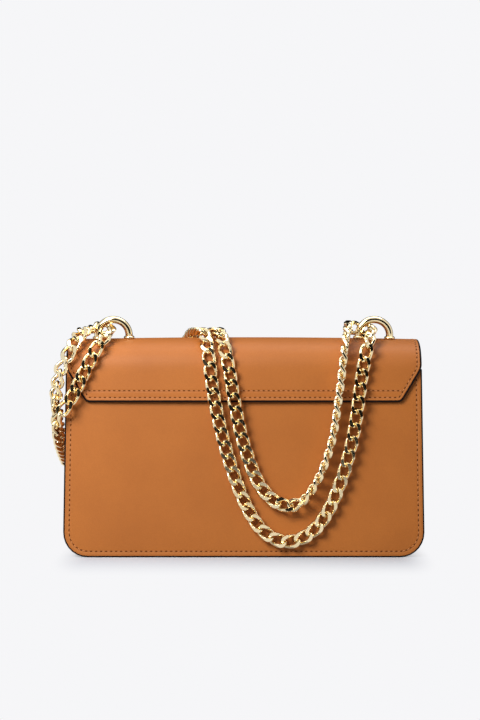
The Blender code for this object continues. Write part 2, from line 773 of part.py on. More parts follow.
def lay_links(samples, count, pitch):
    """Each link's stretch and its two ends on the route, and the place that the last one leads to."""
    place, stretch, links = 0, 0, []
    for _ in range(count):
        end = walk(samples, place, pitch)
        links.append((stretch, place, end))
        ahead = samples[int(end) % len(samples)][2]
        place = end if ahead == stretch else walk(samples, end, -LINK_FREE_STEP)
        stretch = ahead
    return links, place


def fitted_links(samples):
    """The pitch is trimmed by a hair so that a whole number of links closes the loop."""
    length = sum((samples[n][0] - samples[n - 1][0]).length for n in range(len(samples)))
    count = round((length + LINK_FREE_STEP * len(ROUTE)) / CHAIN_PITCH)
    low, high = (length / count * share for share in PITCH_TRIM_SHARES)
    for _ in range(PITCH_TRIALS):
        pitch = (low + high) / 2
        links, place = lay_links(samples, count, pitch)
        if place < len(samples):
            low = pitch
        else:
            high = pitch
    return links


def link_rings():
    """One link about its middle: an oval of diamond wire, twisted and ground flat on both faces."""
    wire = CHAIN_WIRE / 2
    spread = 1 / cos(pi / LINK_STEPS)
    length, width = LINK_LENGTH / 2 * spread, (CHAIN_WIDTH / 2 - wire) * spread
    flat = CHAIN_THICKNESS / 2
    rings = []
    for n in range(LINK_STEPS):
        turn = 2 * pi * (n + 1 / 2) / LINK_STEPS
        rise = -CHAIN_TWIST_RISE * sin(2 * turn) / sin(2 * pi / LINK_STEPS)
        middle = Vector((length * cos(turn), width * sin(turn), rise))
        out = Vector((width * cos(turn), length * sin(turn), 0)).normalized() * wire
        ring = [middle + out, middle + UP * wire, middle - out, middle - UP * wire]
        rings.append([Vector((spot.x, spot.y, min(max(spot.z, -flat), flat))) for spot in ring])
    return rings


def link_place(samples, start, end):
    """A link's frame: X along the chain and Z out of its flat face."""
    first, last = sample_at(samples, start)[0], sample_at(samples, end)[0]
    along = (last - first).normalized()
    face = sample_at(samples, (start + end) / 2)[1]
    face = (face - along * face.dot(along)).normalized()
    turn = Matrix((along, face.cross(along), face)).transposed().to_4x4()
    return Matrix.Translation((first + last) / 2) @ turn


def links_mesh(places):
    """A link at each of the places."""
    mesh = bmesh.new()
    for place in places:
        loops = [[mesh.verts.new(place @ spot) for spot in ring] for ring in link_rings()]
        for low, high in zip(loops, loops[1:] + loops[:1]):
            for n in range(len(low)):
                m = (n + 1) % len(low)
                mesh.faces.new((low[n], low[m], high[m], high[n]))
    bmesh.ops.triangulate(mesh, faces=mesh.faces)
    return finish(mesh)


def make_chain(bag, gold):
    """One closed loop. The links of a stretch bear on each other, and the stretches hang free."""
    samples = route_samples()
    links = fitted_links(samples)
    for number, (name, _) in enumerate(ROUTE):
        places = [link_place(samples, start, end) for stretch, start, end in links if stretch == number]
        stretch = piece(name, links_mesh(places[::2]), gold, bag)
        boolean(stretch, piece(f"{name}_between", links_mesh(places[1::2]), gold, bag), "UNION")


def main():
    for old in list(bpy.data.objects):
        bpy.data.objects.remove(old)
    leather = material("tan_leather", (0.42, 0.17, 0.07), 0.45)
    cloth = material("brown_lining", (0.16, 0.08, 0.045), 0.8)
    board = material("grey_board", (0.35, 0.33, 0.30), 0.9)
    gold = material("polished_gold", (0.86, 0.62, 0.26), 0.15, 1)
    steel = material("plain_steel", (0.55, 0.55, 0.56), 0.35, 1)
    bag = empty("bag", None, (0, MIDDLE_SHIFT, 0))
    hinge = empty("flap_hinge", bag, (0, 0, CREST_HEIGHT))
    places = {"left": arch_place(-1), "right": arch_place(1)}
    feet = [foot for place in places.values() for foot in arch_feet(place)]
    make_panels(bag, leather)
    make_gusset(bag, leather)
    make_base_board(bag, board)
    make_lining(bag, cloth)
    make_slip_pocket(bag, cloth)
    make_flap_rear(bag, leather, feet)
    make_stiffener(bag, board, feet)
    make_flap_front(hinge, leather, cloth)
    make_arches(bag, gold, steel, places)
    make_snap(bag, hinge, gold, steel)
    make_chain(bag, gold)
    bpy.context.view_layer.update()


if __name__ == "__main__":
    main()
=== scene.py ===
"""Dresses the leather crossbody bag: leather, stitching, polished chain and arches, in a plain studio.

Metres, +Z up. The back of the bag faces -Y, and its flap closes over the front.
"""

import json
from bisect import bisect
from math import atan, copysign, cos, pi, radians, sin, tan, tanh

import bmesh
import bpy
from bpy.props import FloatProperty, FloatVectorProperty, PointerProperty
from mathutils import Matrix, Vector
from mathutils.geometry import interpolate_bezier
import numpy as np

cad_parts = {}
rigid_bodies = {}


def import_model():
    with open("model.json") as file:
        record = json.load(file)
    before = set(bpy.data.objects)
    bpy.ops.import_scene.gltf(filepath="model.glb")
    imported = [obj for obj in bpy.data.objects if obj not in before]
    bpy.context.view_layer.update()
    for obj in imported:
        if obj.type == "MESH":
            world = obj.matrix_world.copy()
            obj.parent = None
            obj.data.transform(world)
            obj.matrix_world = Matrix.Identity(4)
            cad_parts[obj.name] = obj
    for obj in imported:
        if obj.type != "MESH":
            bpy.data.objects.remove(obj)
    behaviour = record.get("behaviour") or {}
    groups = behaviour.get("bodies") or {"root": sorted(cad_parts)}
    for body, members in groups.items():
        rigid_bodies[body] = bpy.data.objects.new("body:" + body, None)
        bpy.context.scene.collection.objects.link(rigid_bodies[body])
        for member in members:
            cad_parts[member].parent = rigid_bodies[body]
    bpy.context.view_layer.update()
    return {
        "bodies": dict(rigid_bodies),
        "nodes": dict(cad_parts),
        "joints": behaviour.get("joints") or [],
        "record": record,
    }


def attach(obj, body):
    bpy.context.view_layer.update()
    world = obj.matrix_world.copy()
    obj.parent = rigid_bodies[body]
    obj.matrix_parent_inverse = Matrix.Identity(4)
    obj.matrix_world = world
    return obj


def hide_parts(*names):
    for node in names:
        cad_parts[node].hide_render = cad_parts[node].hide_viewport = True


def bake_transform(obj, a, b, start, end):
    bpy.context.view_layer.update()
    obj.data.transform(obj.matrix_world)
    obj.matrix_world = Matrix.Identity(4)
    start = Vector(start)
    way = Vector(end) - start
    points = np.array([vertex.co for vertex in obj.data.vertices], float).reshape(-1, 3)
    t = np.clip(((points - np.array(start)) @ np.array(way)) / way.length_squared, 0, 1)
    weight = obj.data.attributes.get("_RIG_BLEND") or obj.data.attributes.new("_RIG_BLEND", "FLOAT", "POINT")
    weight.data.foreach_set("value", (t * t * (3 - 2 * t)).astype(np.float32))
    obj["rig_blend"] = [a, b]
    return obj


bl_info = {
    "name": "Leather Crossbody Bag",
    "version": (1, 0, 0),
    "blender": (4, 5, 0),
    "location": "View3D > Sidebar > Bag",
    "description": "Leather, stitching and polished chain for the crossbody bag",
    "category": "Object",
}

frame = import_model()

# Body, over its outer faces
SEAT_GAP = 0.0003
PANEL_WIDTH = 0.260
PANEL_TOP_WIDTH = 0.2568
PANEL_HEIGHT = 0.135
PANEL_CORNER = 0.018
PANEL_LEATHER = 0.0022
BASE_DEPTH = 0.070
MOUTH_DEPTH = 0.0608
SEAM_MARGIN = 0.006
GUSSET_LEATHER = 0.0016
GUSSET_FLANGE = 0.005
GUSSET_DROP = 0.002
GUSSET_FOLD = 0.0009
WALL_SAG = 0.0016
LINING_FLOOR = 0.0100
LINING_LEATHER = 0.0008
LINING_DROP = 0.003
LINING_SPACE = 0.0019
POCKET_WIDTH = 0.160
POCKET_BOTTOM = 0.042
POCKET_TOP = 0.114

# Flap
SHOULDER_HEIGHT = 0.134
CREST_HEIGHT = 0.1585
CREST_CROWN = 0.0014
CREST_ROUNDNESS = 2.5
REAR_STANDOFF = 0.0029
FRONT_STANDOFF = 0.0074
REAR_EDGE_HEIGHT = 0.1113
FRONT_EDGE_HEIGHT = 0.045
FLAP_LEATHER = 0.0026
FLAP_WIDTH = 0.2560
FLAP_TIP_WIDTH = 0.2270
FLAP_CUT_HEIGHT = 0.0241
FLAP_TIP_RADIUS = 0.005
FLAP_SIDE_RADIUS = 0.012
HINGE_BEND = 0.012
DOME_SAMPLES = 60

# Arches and collars
ARCH_OFFSET = 0.0954
ARCH_SETBACK = 0.010
ARCH_SPACING = 0.0228
ARCH_ROD = 0.0053
ARCH_LEG = 0.0027
COLLAR_DIAMETER = 0.0078
COLLAR_HEIGHT = 0.0020

# Magnetic snap
SNAP_HEIGHT = 0.070

# Chain
CHAIN_PITCH = 0.00975
LINK_FREE_STEP = 0.00095
WIRE = 0.0030
WIRE_RISE = 0.0019
WIRE_TWIST = 1.5
LINK_SQUARENESS = 2.2
LINK_LIFT = 0.0009
LINK_FACES = (LINK_LIFT - 0.0027, LINK_LIFT + 0.0027)
LINK_WIDTH = 0.0107
LINK_LENGTH = CHAIN_PITCH + WIRE - 0.0006
ROUTE_STEPS = 24
PITCH_TRIM_SHARES = (0.97, 1.04)
PITCH_TRIALS = 30
TILT_SHARE = 0.8

# Camera: level, behind the bag, as far off as the photograph's
SENSOR_HEIGHT = 24
CAMERA_DISTANCE = 1.15
VIEW_HEIGHT = 0.5166
CAMERA_X = -0.00275
CAMERA_HEIGHT = 0.14166

# Stage
FLOOR_REACH = 8
SHADOW_REACH = (-0.03, 0.108)
SHADOW_SIDE = (4, 1, 1)
BAG_FOOT = (0.110, 0.036, 0)
CARDS = (("near_card", -0.78, 3.0, 0.80), ("far_card", 0.90, 3.0, 1.50))
AMBIENT = 0.27
LAMP_TARGET = (0, 0, 0.07)
LAMPS = (
    ("key_lamp", (-0.36, -0.55, 0.50), (0.34, 0.34), 6.7),
    ("rear_lamp", (0.60, 1.10, 0.90), (0.80, 0.80), 5.0),
)
GLEAM = (0.0, -0.02, 1.0), (1.2, 0.34), 5.0

# Meshes
LINK_STEPS = 22
LINK_SIDES = 10
ARCH_TURNS = 30
FLAP_ROW_STEP = 0.0032
SECOND_ROW = 0.0083
# How far the near-black edge paint reaches onto a face, widening the dark line that also stands for shade under the
# edges
EDGE_OVERLAP = 0.00035
HINGE_START = (0, -0.0029218, 0.1585)
HINGE_END = (0, 0.0150, 0.1585)

# The chain's runs: their stretches, and the line along which a run bends from the bag to the flap
CHAIN_RUNS = (
    ("chain_back_loops", (
        "chain_inner_left", "chain_inner_bottom", "chain_inner_right", "chain_arch_right",
        "chain_outer_right", "chain_outer_bottom", "chain_outer_left",
    ), None),
    ("chain_over_outer", ("chain_outer_over", "chain_front_upper"), (HINGE_START, HINGE_END)),
    ("chain_round_end", (
        "chain_end_outer", "chain_arch_left", "chain_end_inner", "chain_front_corner",
    ), ((-0.135, -0.034, 0.108), (-0.131, 0.038, 0.075))),
    ("chain_over_inner", ("chain_front_lower", "chain_inner_over"), (HINGE_START, HINGE_END)),
)

# Which way the chain's flat face looks along its route
BACK = Vector((0, -1, 0))
FRONT = Vector((0, 1, 0))
UP = Vector((0, 0, 1))
LEFT = Vector((-1, 0, 0))
RIGHT = Vector((1, 0, 0))
TILTED = RIGHT - TILT_SHARE * UP

# The chain's middle line, as in the solids: a closed loop in named stretches.
ROUTE = (
    ("chain_outer_right", (
        ((0.0849, -0.0361, 0.1335), BACK),
        ((0.0823, -0.0363, 0.1145), BACK),
        ((0.0796, -0.0364, 0.0950), BACK),
        ((0.0751, -0.0364, 0.0733), BACK),
        ((0.0687, -0.0364, 0.0525), BACK),
    )),
    ("chain_outer_bottom", (
        ((0.0604, -0.0364, 0.0334), BACK),
        ((0.0488, -0.0367, 0.0183), BACK),
        ((0.0305, -0.0370, 0.0111), BACK),
        ((0.0134, -0.0367, 0.0194), BACK),
    )),
    ("chain_outer_left", (
        ((0.0026, -0.0364, 0.0356), BACK),
        ((-0.0056, -0.0364, 0.0550), BACK),
        ((-0.0130, -0.0364, 0.0780), BACK),
        ((-0.0183, -0.0364, 0.0995), BACK),
    )),
    ("chain_outer_over", (
        ((-0.0222, -0.0361, 0.1200), BACK),
        ((-0.0248, -0.0360, 0.1400), BACK),
        ((-0.0262, -0.0326, 0.1495), BACK),
        ((-0.0276, -0.0250, 0.1565), BACK + UP),
        ((-0.0300, -0.0185, 0.1609), UP),
        ((-0.0350, 0.0040, 0.1621), UP),
        ((-0.0374, 0.0140, 0.1613), UP),
        ((-0.0402, 0.0236, 0.1584), FRONT + UP),
        ((-0.0440, 0.0347, 0.1518), FRONT + UP),
    )),
    ("chain_front_upper", (
        ((-0.0484, 0.0399, 0.1425), FRONT),
        ((-0.0605, 0.0406, 0.1210), FRONT),
    )),
    ("chain_end_outer", (
        ((-0.0764, 0.0413, 0.1018), FRONT),
        ((-0.0970, 0.0418, 0.0857), FRONT),
        ((-0.1195, 0.0424, 0.0783), FRONT),
        ((-0.1272, 0.0442, 0.0770), FRONT),
        ((-0.1323, 0.0420, 0.0766), LEFT + FRONT),
        ((-0.1348, 0.0360, 0.0775), LEFT),
        ((-0.1354, 0.0198, 0.0849), LEFT),
        ((-0.1356, 0.0040, 0.0936), LEFT),
        ((-0.1357, -0.0120, 0.1012), LEFT),
        ((-0.1353, -0.0270, 0.1092), LEFT),
    )),
    ("chain_arch_left", (
        ((-0.1338, -0.0360, 0.1170), LEFT + BACK),
        ((-0.1325, -0.0385, 0.1265), LEFT + BACK),
        ((-0.1300, -0.0388, 0.1360), LEFT + BACK),
        ((-0.1264, -0.0374, 0.1444), BACK),
        ((-0.1228, -0.0325, 0.1520), BACK),
        ((-0.1188, -0.0235, 0.1590), BACK + UP),
        ((-0.1148, -0.0130, 0.1632), UP),
        ((-0.1098, -0.0048, 0.1650), UP + FRONT),
        ((-0.1026, -0.0040, 0.1648), FRONT + TILTED),
        ((-0.0981, -0.0116, 0.1630), TILTED),
        ((-0.0990, -0.0206, 0.1620), TILTED),
        ((-0.1020, -0.0292, 0.1578), RIGHT + BACK),
        ((-0.1054, -0.0352, 0.1506), BACK),
    )),
    ("chain_end_inner", (
        ((-0.1138, -0.0362, 0.1340), BACK),
        ((-0.1223, -0.0362, 0.1160), BACK),
        ((-0.1270, -0.0380, 0.1083), BACK),
        ((-0.1320, -0.0364, 0.1016), LEFT + BACK),
        ((-0.1345, -0.0310, 0.0950), LEFT),
        ((-0.1350, -0.0138, 0.0840), LEFT),
    )),
    ("chain_front_corner", (
        ((-0.1350, 0.0048, 0.0764), LEFT),
        ((-0.1349, 0.0236, 0.0696), LEFT),
        ((-0.1346, 0.0328, 0.0662), LEFT),
        ((-0.1324, 0.0408, 0.0632), LEFT + FRONT),
        ((-0.1254, 0.0446, 0.0606), FRONT),
        ((-0.1164, 0.0431, 0.0574), FRONT),
    )),
    ("chain_front_lower", (
        ((-0.0968, 0.0429, 0.0540), FRONT),
        ((-0.0782, 0.0427, 0.0608), FRONT),
        ((-0.0630, 0.0422, 0.0742), FRONT),
        ((-0.0504, 0.0416, 0.0914), FRONT),
        ((-0.0402, 0.0410, 0.1106), FRONT),
    )),
    ("chain_inner_over", (
        ((-0.0325, 0.0407, 0.1312), FRONT),
        ((-0.0298, 0.0401, 0.1418), FRONT),
        ((-0.0268, 0.0349, 0.1516), FRONT + UP),
        ((-0.0244, 0.0241, 0.1582), FRONT + UP),
        ((-0.0227, 0.0145, 0.1613), UP),
        ((-0.0202, -0.0070, 0.1620), UP),
        ((-0.0184, -0.0178, 0.1610), UP),
        ((-0.0160, -0.0248, 0.1566), BACK + UP),
        ((-0.0136, -0.0327, 0.1494), BACK),
    )),
    ("chain_inner_left", (
        ((-0.0097, -0.0362, 0.1300), BACK),
        ((-0.0063, -0.0365, 0.1090), BACK),
        ((-0.0018, -0.0364, 0.0880), BACK),
        ((0.0046, -0.0364, 0.0674), BACK),
    )),
    ("chain_inner_bottom", (
        ((0.0132, -0.0364, 0.0492), BACK),
        ((0.0270, -0.0366, 0.0372), BACK),
        ((0.0356, -0.0376, 0.0366), BACK + UP),
        ((0.0430, -0.0392, 0.0403), LEFT),
        ((0.0528, -0.0402, 0.0540), LEFT),
    )),
    ("chain_inner_right", (
        ((0.0598, -0.0402, 0.0704), LEFT),
        ((0.0648, -0.0402, 0.0882), LEFT),
        ((0.0675, -0.0402, 0.1070), LEFT),
        ((0.0701, -0.0402, 0.1258), LEFT),
    )),
    ("chain_arch_right", (
        ((0.0722, -0.0394, 0.1446), LEFT),
        ((0.0734, -0.0364, 0.1534), LEFT),
        ((0.0748, -0.0302, 0.1606), LEFT),
        ((0.0762, -0.0216, 0.1644), LEFT),
        ((0.0772, -0.0128, 0.1656), LEFT),
        ((0.0798, -0.0044, 0.1656), FRONT + LEFT),
        ((0.0864, -0.0022, 0.1650), FRONT),
        ((0.0922, -0.0122, 0.1634), TILTED),
        ((0.0918, -0.0200, 0.1620), TILTED),
        ((0.0900, -0.0282, 0.1590), RIGHT + BACK),
        ((0.0884, -0.0354, 0.1515), BACK),
    )),
)


# Every row of stitches that a piece of leather asks for, as places with Z out of the leather.
ROWS = []


# Shaders

def feed(tree, socket, value):
    """Links a wire to a socket, or sets the socket's own value."""
    if isinstance(value, Wire):
        tree.links.new(value.socket, socket)
    elif socket.type == "RGBA":
        socket.default_value = (*value, 1)
    else:
        socket.default_value = value


class Wire:
    """One output of a shader node. Reckoning with it adds Math nodes."""

    def __init__(self, tree, socket):
        self.tree = tree
        self.socket = socket

    def reckon(self, operation, *values):
        node = self.tree.nodes.new("ShaderNodeMath")
        node.operation = operation
        for socket, value in zip(node.inputs, values):
            feed(self.tree, socket, value)
        return Wire(self.tree, node.outputs[0])

    def __add__(self, other):
        return self.reckon("ADD", self, other)

    def __sub__(self, other):
        return self.reckon("SUBTRACT", self, other)

    def __mul__(self, other):
        return self.reckon("MULTIPLY", self, other)

    def __rsub__(self, other):
        return self.reckon("SUBTRACT", other, self)

    __radd__ = __add__
    __rmul__ = __mul__


class Finish:
    """A shader in the making, on a material or on the world."""

    def __init__(self, owner):
        self.owner = owner
        owner.use_nodes = True
        self.tree = owner.node_tree
        self.shader = self.tree.nodes.get("Principled BSDF")

    def node(self, kind, settings=None, sockets=None, output=0):
        """Adds a node: its settings first, then the values or links of its sockets."""
        made = self.tree.nodes.new("ShaderNode" + kind)
        for name, value in (settings or {}).items():
            if name == "stops":
                for stop, (place, level) in zip(made.color_ramp.elements, value):
                    stop.position, stop.color = place, (level, level, level, 1)
            else:
                setattr(made, name, value)
        for name, value in (sockets or {}).items():
            feed(self.tree, made.inputs[name], value)
        return Wire(self.tree, made.outputs[output])

    def mix(self, share, first, second):
        """A colour between two."""
        return self.node("Mix", {"data_type": "RGBA"}, {0: share, 6: first, 7: second}, 2)

    def noise(self, place, scale, detail=2, roughness=0.5):
        sockets = {"Vector": place, "Scale": scale, "Detail": detail, "Roughness": roughness}
        return self.node("TexNoise", None, sockets)

    def ramp(self, value, low, high):
        """0 below low, 1 above high."""
        return self.node("ValToRGB", {"stops": ((low, 0), (high, 1))}, {"Fac": value})

    def paint(self, **sockets):
        """Feeds the shader's own sockets, named with underscores for spaces."""
        for name, value in sockets.items():
            feed(self.tree, self.shader.inputs[name.replace("_", " ")], value)

    def bump(self, height, strength, distance):
        sockets = {"Height": height, "Strength": strength, "Distance": distance}
        self.paint(Normal=self.node("Bump", None, sockets))


def finish_named(name, make):
    """The material of that name, made the first time that it is asked for."""
    found = bpy.data.materials.get(name)
    if found:
        return found
    finish = Finish(bpy.data.materials.new(name))
    make(finish, bpy.context.scene.bag_colours)
    return finish.owner


def leather():
    def make(hide, colours):
        """Smooth tanned leather: fine grain and soft clouds of colour, with painted shade in the seam grooves
        and a painted highlight on the band outside the seams."""
        place = hide.node("TexCoord", output="Object")
        clouds = hide.ramp(hide.noise(place, 16, 3), 0.32, 0.68)
        mottle = hide.noise(place, 130, 4, 0.6)
        cells = hide.node(
            "TexVoronoi", {"feature": "SMOOTH_F1"}, {"Vector": place, "Scale": 1100, "Smoothness": 0.6}
        )
        pores = hide.noise(place, 2600, 2)
        painted_shade_and_highlight = hide.node("Attribute", {"attribute_name": "painted_shade_and_highlight"}, output="Fac")
        tone = hide.mix(clouds, colours.leather_dark, colours.leather_light)
        tone = hide.mix(hide.ramp(mottle, 0.35, 0.75) * 0.10, tone, colours.leather_deep)
        tone = hide.mix(hide.ramp(cells, 0.25, 0.6) * 0.10, tone, colours.leather_deep)
        # Painted highlight: lighter leather on the band outside the seams. Painted shade: darker leather in the seam
        # grooves.
        tone = hide.mix(painted_shade_and_highlight * -1.2, tone, colours.leather_rim_highlight)
        tone = hide.mix(painted_shade_and_highlight * 0.55, tone, colours.shaded_and_burnt_leather)
        hide.paint(
            Base_Color=tone,
            Roughness=0.50 + mottle * 0.08 + cells * 0.04 - painted_shade_and_highlight * 0.08,
            Specular_IOR_Level=0.4,
        )
        hide.bump(cells * 0.55 + pores * 0.25 + mottle * 0.3, 0.22, 0.00012)

    return finish_named("tan_leather_finish", make)


def edge_paint_and_shade():
    def make(edge, colours):
        """Dark sealed edges, a little uneven from the brush. The paint is near black, darker than it is, as painted
        shade under the edges.
        """
        place = edge.node("TexCoord", output="Object")
        streaks = edge.noise(place, 420, 3)
        edge.paint(
            Base_Color=edge.mix(streaks * 0.15, colours.edge_paint_and_shade, colours.shaded_and_burnt_leather),
            Roughness=0.5 + streaks * 0.2,
            Specular_IOR_Level=0.1,
        )
        edge.bump(streaks, 0.4, 0.0002)

    return finish_named("edge_paint_and_shade_finish", make)


def thread():
    def make(cord, colours):
        """Waxed thread: two plies laid together."""
        place = cord.node("TexCoord", output="Object")
        plies = cord.noise(place, 2200, 2)
        cord.paint(
            Base_Color=cord.mix(plies * 0.5, colours.thread, colours.leather_deep),
            Roughness=0.45 + plies * 0.2,
        )
        cord.bump(plies, 0.5, 0.0002)

    return finish_named("waxed_thread_finish", make)


def needle_hole_shade():
    def make(hole, colours):
        # Dark beads that stand for the shade inside the needle holes: painted shade
        place = hole.node("TexCoord", output="Object")
        shade = hole.noise(place, 900, 1)
        hole.paint(
            Base_Color=hole.mix(shade * 0.6, colours.shaded_and_burnt_leather, colours.leather_deep),
            Roughness=0.8, Specular_IOR_Level=0.1,
        )

    return finish_named("needle_hole_shade_finish", make)


def suede():
    def make(cloth, colours):
        """Brushed lining leather with a short nap."""
        place = cloth.node("TexCoord", output="Object")
        nap = cloth.noise(place, 700, 5, 0.7)
        brushed = cloth.noise(place, 45, 3)
        tone = cloth.mix(cloth.ramp(brushed, 0.3, 0.7), colours.lining_dark, colours.lining_light)
        cloth.paint(
            Base_Color=cloth.mix(nap * 0.4, tone, colours.lining_light),
            Roughness=0.78 + nap * 0.16,
            Sheen_Weight=0.35,
            Sheen_Roughness=0.4,
        )
        cloth.bump(nap, 0.5, 0.0003)

    return finish_named("brushed_lining_finish", make)


def board():
    def make(card, colours):
        """Pressed fibre board."""
        place = card.node("TexCoord", output="Object")
        fibres = card.noise(place, 520, 6, 0.7)
        card.paint(
            Base_Color=card.mix(fibres, colours.board, colours.lining_dark),
            Roughness=0.85 + fibres * 0.1,
        )
        card.bump(fibres, 0.5, 0.0002)

    return finish_named("pressed_board_finish", make)


def gold():
    def make(metal, colours):
        """Polished pale gold plating with the faintest handling marks."""
        place = metal.node("TexCoord", output="Object")
        marks = metal.noise(place, 260, 4, 0.65)
        film = metal.ramp(metal.noise(place, 38, 2), 0.3, 0.7)
        metal.paint(
            Base_Color=metal.mix(film * 0.5, colours.gold, colours.gold_warm),
            Metallic=1,
            Roughness=0.07 + marks * 0.09,
        )
        metal.bump(marks, 0.05, 0.0002)

    return finish_named("polished_gold_finish", make)


def steel():
    def make(metal, colours):
        """Plain zinc-plated steel."""
        place = metal.node("TexCoord", output="Object")
        spangle = metal.noise(place, 640, 3)
        metal.paint(
            Base_Color=metal.mix(spangle, colours.steel, (0.42, 0.42, 0.43)),
            Metallic=1,
            Roughness=0.28 + spangle * 0.18,
        )
        metal.bump(spangle, 0.12, 0.0002)

    return finish_named("plain_steel_finish", make)


# The bag's shape, as in the solids

def wall_depth(height):
    """Half of the bag's depth over the panels' outer faces."""
    return (BASE_DEPTH + (MOUTH_DEPTH - BASE_DEPTH) * height / PANEL_HEIGHT) / 2


def side_reach(height):
    """Half of the panels' width, without their rounded corners."""
    return (PANEL_WIDTH + (PANEL_TOP_WIDTH - PANEL_WIDTH) * height / PANEL_HEIGHT) / 2


WALL_LEAN = atan((BASE_DEPTH - MOUTH_DEPTH) / 2 / PANEL_HEIGHT)
REAR_REACH = wall_depth(0)
FRONT_REACH = wall_depth(FRONT_EDGE_HEIGHT) + FRONT_STANDOFF
MIDDLE_SHIFT = (REAR_REACH - FRONT_REACH) / 2


def dome_point(standoff, height):
    """Depth of the flap's outer face at a height, and the face's direction as (depth, height)."""
    wall = wall_depth(height) + standoff
    if height <= SHOULDER_HEIGHT:
        return wall, (cos(WALL_LEAN), sin(WALL_LEAN))
    span = CREST_HEIGHT - SHOULDER_HEIGHT
    rise = min((height - SHOULDER_HEIGHT) / span, 1)
    share = (1 - rise**CREST_ROUNDNESS) ** (1 / CREST_ROUNDNESS)
    face = Vector((
        share ** (CREST_ROUNDNESS - 1) / wall,
        rise ** (CREST_ROUNDNESS - 1) / span,
    )).normalized()
    return wall * share, (face.x, face.y)


def dome_height(standoff, depth):
    """Height of the flap's outer face at a depth from the crest."""
    share = depth / (wall_depth(CREST_HEIGHT) + standoff)
    span = CREST_HEIGHT - SHOULDER_HEIGHT
    return SHOULDER_HEIGHT + span * (1 - share**CREST_ROUNDNESS) ** (1 / CREST_ROUNDNESS)


def crest_drop(x, height):
    """How far the top leather drops towards the bag's ends."""
    rise = max(0, (height - SHOULDER_HEIGHT) / (CREST_HEIGHT - SHOULDER_HEIGHT))
    return CREST_CROWN * (2 * x / FLAP_WIDTH) ** 2 * min(rise, 1)


def smooth_step(value, low, high):
    share = min(max((value - low) / (high - low), 0), 1)
    return share * share * (3 - 2 * share)


def wall_sag(spot):
    """The side walls are drawn in between the panels, more towards the mouth."""
    middle = 1 - min(abs(spot.y) / wall_depth(spot.z), 1) ** 2
    amount = WALL_SAG * middle * smooth_step(spot.z, 0.018, 0.075) * smooth_step(abs(spot.x), 0.08, 0.115)
    spot.x -= amount if spot.x > 0 else -amount


def panel_spot(side, flat):
    """A spot of a panel's pattern (x, height, rise) on the bag."""
    x, z, rise = flat
    return Vector((x, side * (wall_depth(z) + rise), z))


def flap_path():
    """Length, spot and face along the flap's outer side, from the rear edge to the front edge."""
    span = CREST_HEIGHT - SHOULDER_HEIGHT
    halves = []
    for side, edge, standoff in (
        (-1, REAR_EDGE_HEIGHT, REAR_STANDOFF),
        (1, FRONT_EDGE_HEIGHT, FRONT_STANDOFF),
    ):
        heights = [edge] + [
            SHOULDER_HEIGHT + span * sin(pi / 2 * n / DOME_SAMPLES) ** (2 / CREST_ROUNDNESS)
            for n in range(DOME_SAMPLES + 1)
        ]
        half = []
        for height in heights:
            depth, face = dome_point(standoff, height)
            half.append((Vector((0, side * depth, height)), Vector((0, side * face[0], face[1]))))
        halves.append(half)
    run = halves[0] + halves[1][-2::-1]
    lengths = [0]
    for (before, _), (spot, _) in zip(run, run[1:]):
        lengths.append(lengths[-1] + (spot - before).length)
    return lengths, run


FLAP_LENGTHS, FLAP_RUN = flap_path()
FLAP_CREST = FLAP_LENGTHS[DOME_SAMPLES + 1]
FLAP_END = FLAP_LENGTHS[-1]


def flap_spot(flat):
    """A spot of the flap's pattern (x, length from the rear edge, rise) on the bag."""
    x, along, rise = flat
    n = min(max(bisect(FLAP_LENGTHS, along) - 1, 0), len(FLAP_RUN) - 2)
    share = (along - FLAP_LENGTHS[n]) / (FLAP_LENGTHS[n + 1] - FLAP_LENGTHS[n])
    (low, low_face), (high, high_face) = FLAP_RUN[n], FLAP_RUN[n + 1]
    spot = low.lerp(high, share)
    face = low_face.lerp(high_face, min(max(share, 0), 1)).normalized()
    return Vector((x, 0, -crest_drop(x, spot.z))) + spot + face * rise


# Mesh work

def everything(mesh):
    return mesh.verts[:] + mesh.edges[:] + mesh.faces[:]


def cut_across(mesh, places, direction):
    """Loops of edges at the places along a direction, so that the piece can bend there."""
    for place in places:
        bmesh.ops.bisect_plane(
            mesh, geom=everything(mesh), dist=1e-7, plane_co=direction * place, plane_no=direction
        )


def steps_between(low, high, step):
    """Even places between two ends, about a step apart, without the ends."""
    count = max(round((high - low) / step), 1)
    return [low + (high - low) * n / count for n in range(1, count)]


def move_all(mesh, place):
    for vert in mesh.verts:
        vert.co = place(vert.co)


def sweep(mesh, section, places, closed=False):
    """Carries a closed section, drawn in X and Y, through the places."""
    bmesh.ops.transform(mesh, matrix=places[0], verts=section)
    first = edges = list({edge for vert in section for edge in vert.link_edges})
    for before, after in zip(places, places[1:]):
        made = bmesh.ops.extrude_edge_only(mesh, edges=edges)["geom"]
        edges = [part for part in made if isinstance(part, bmesh.types.BMEdge)]
        verts = [part for part in made if isinstance(part, bmesh.types.BMVert)]
        edges = [edge for edge in edges if all(vert in verts for vert in edge.verts)]
        bmesh.ops.transform(mesh, matrix=after @ before.inverted(), verts=verts)
    if closed:
        bmesh.ops.bridge_loops(mesh, edges=first + edges)
    else:
        for loop in (first, edges):
            bmesh.ops.edgeloop_fill(mesh, edges=loop)
    bmesh.ops.recalc_face_normals(mesh, faces=mesh.faces)
    return mesh


def rod(places, sides, closed=False):
    """A round rod of radius 1 at each place's own scale."""
    mesh = bmesh.new()
    section = bmesh.ops.create_circle(mesh, segments=sides, radius=1)["verts"]
    return sweep(mesh, section, places, closed)


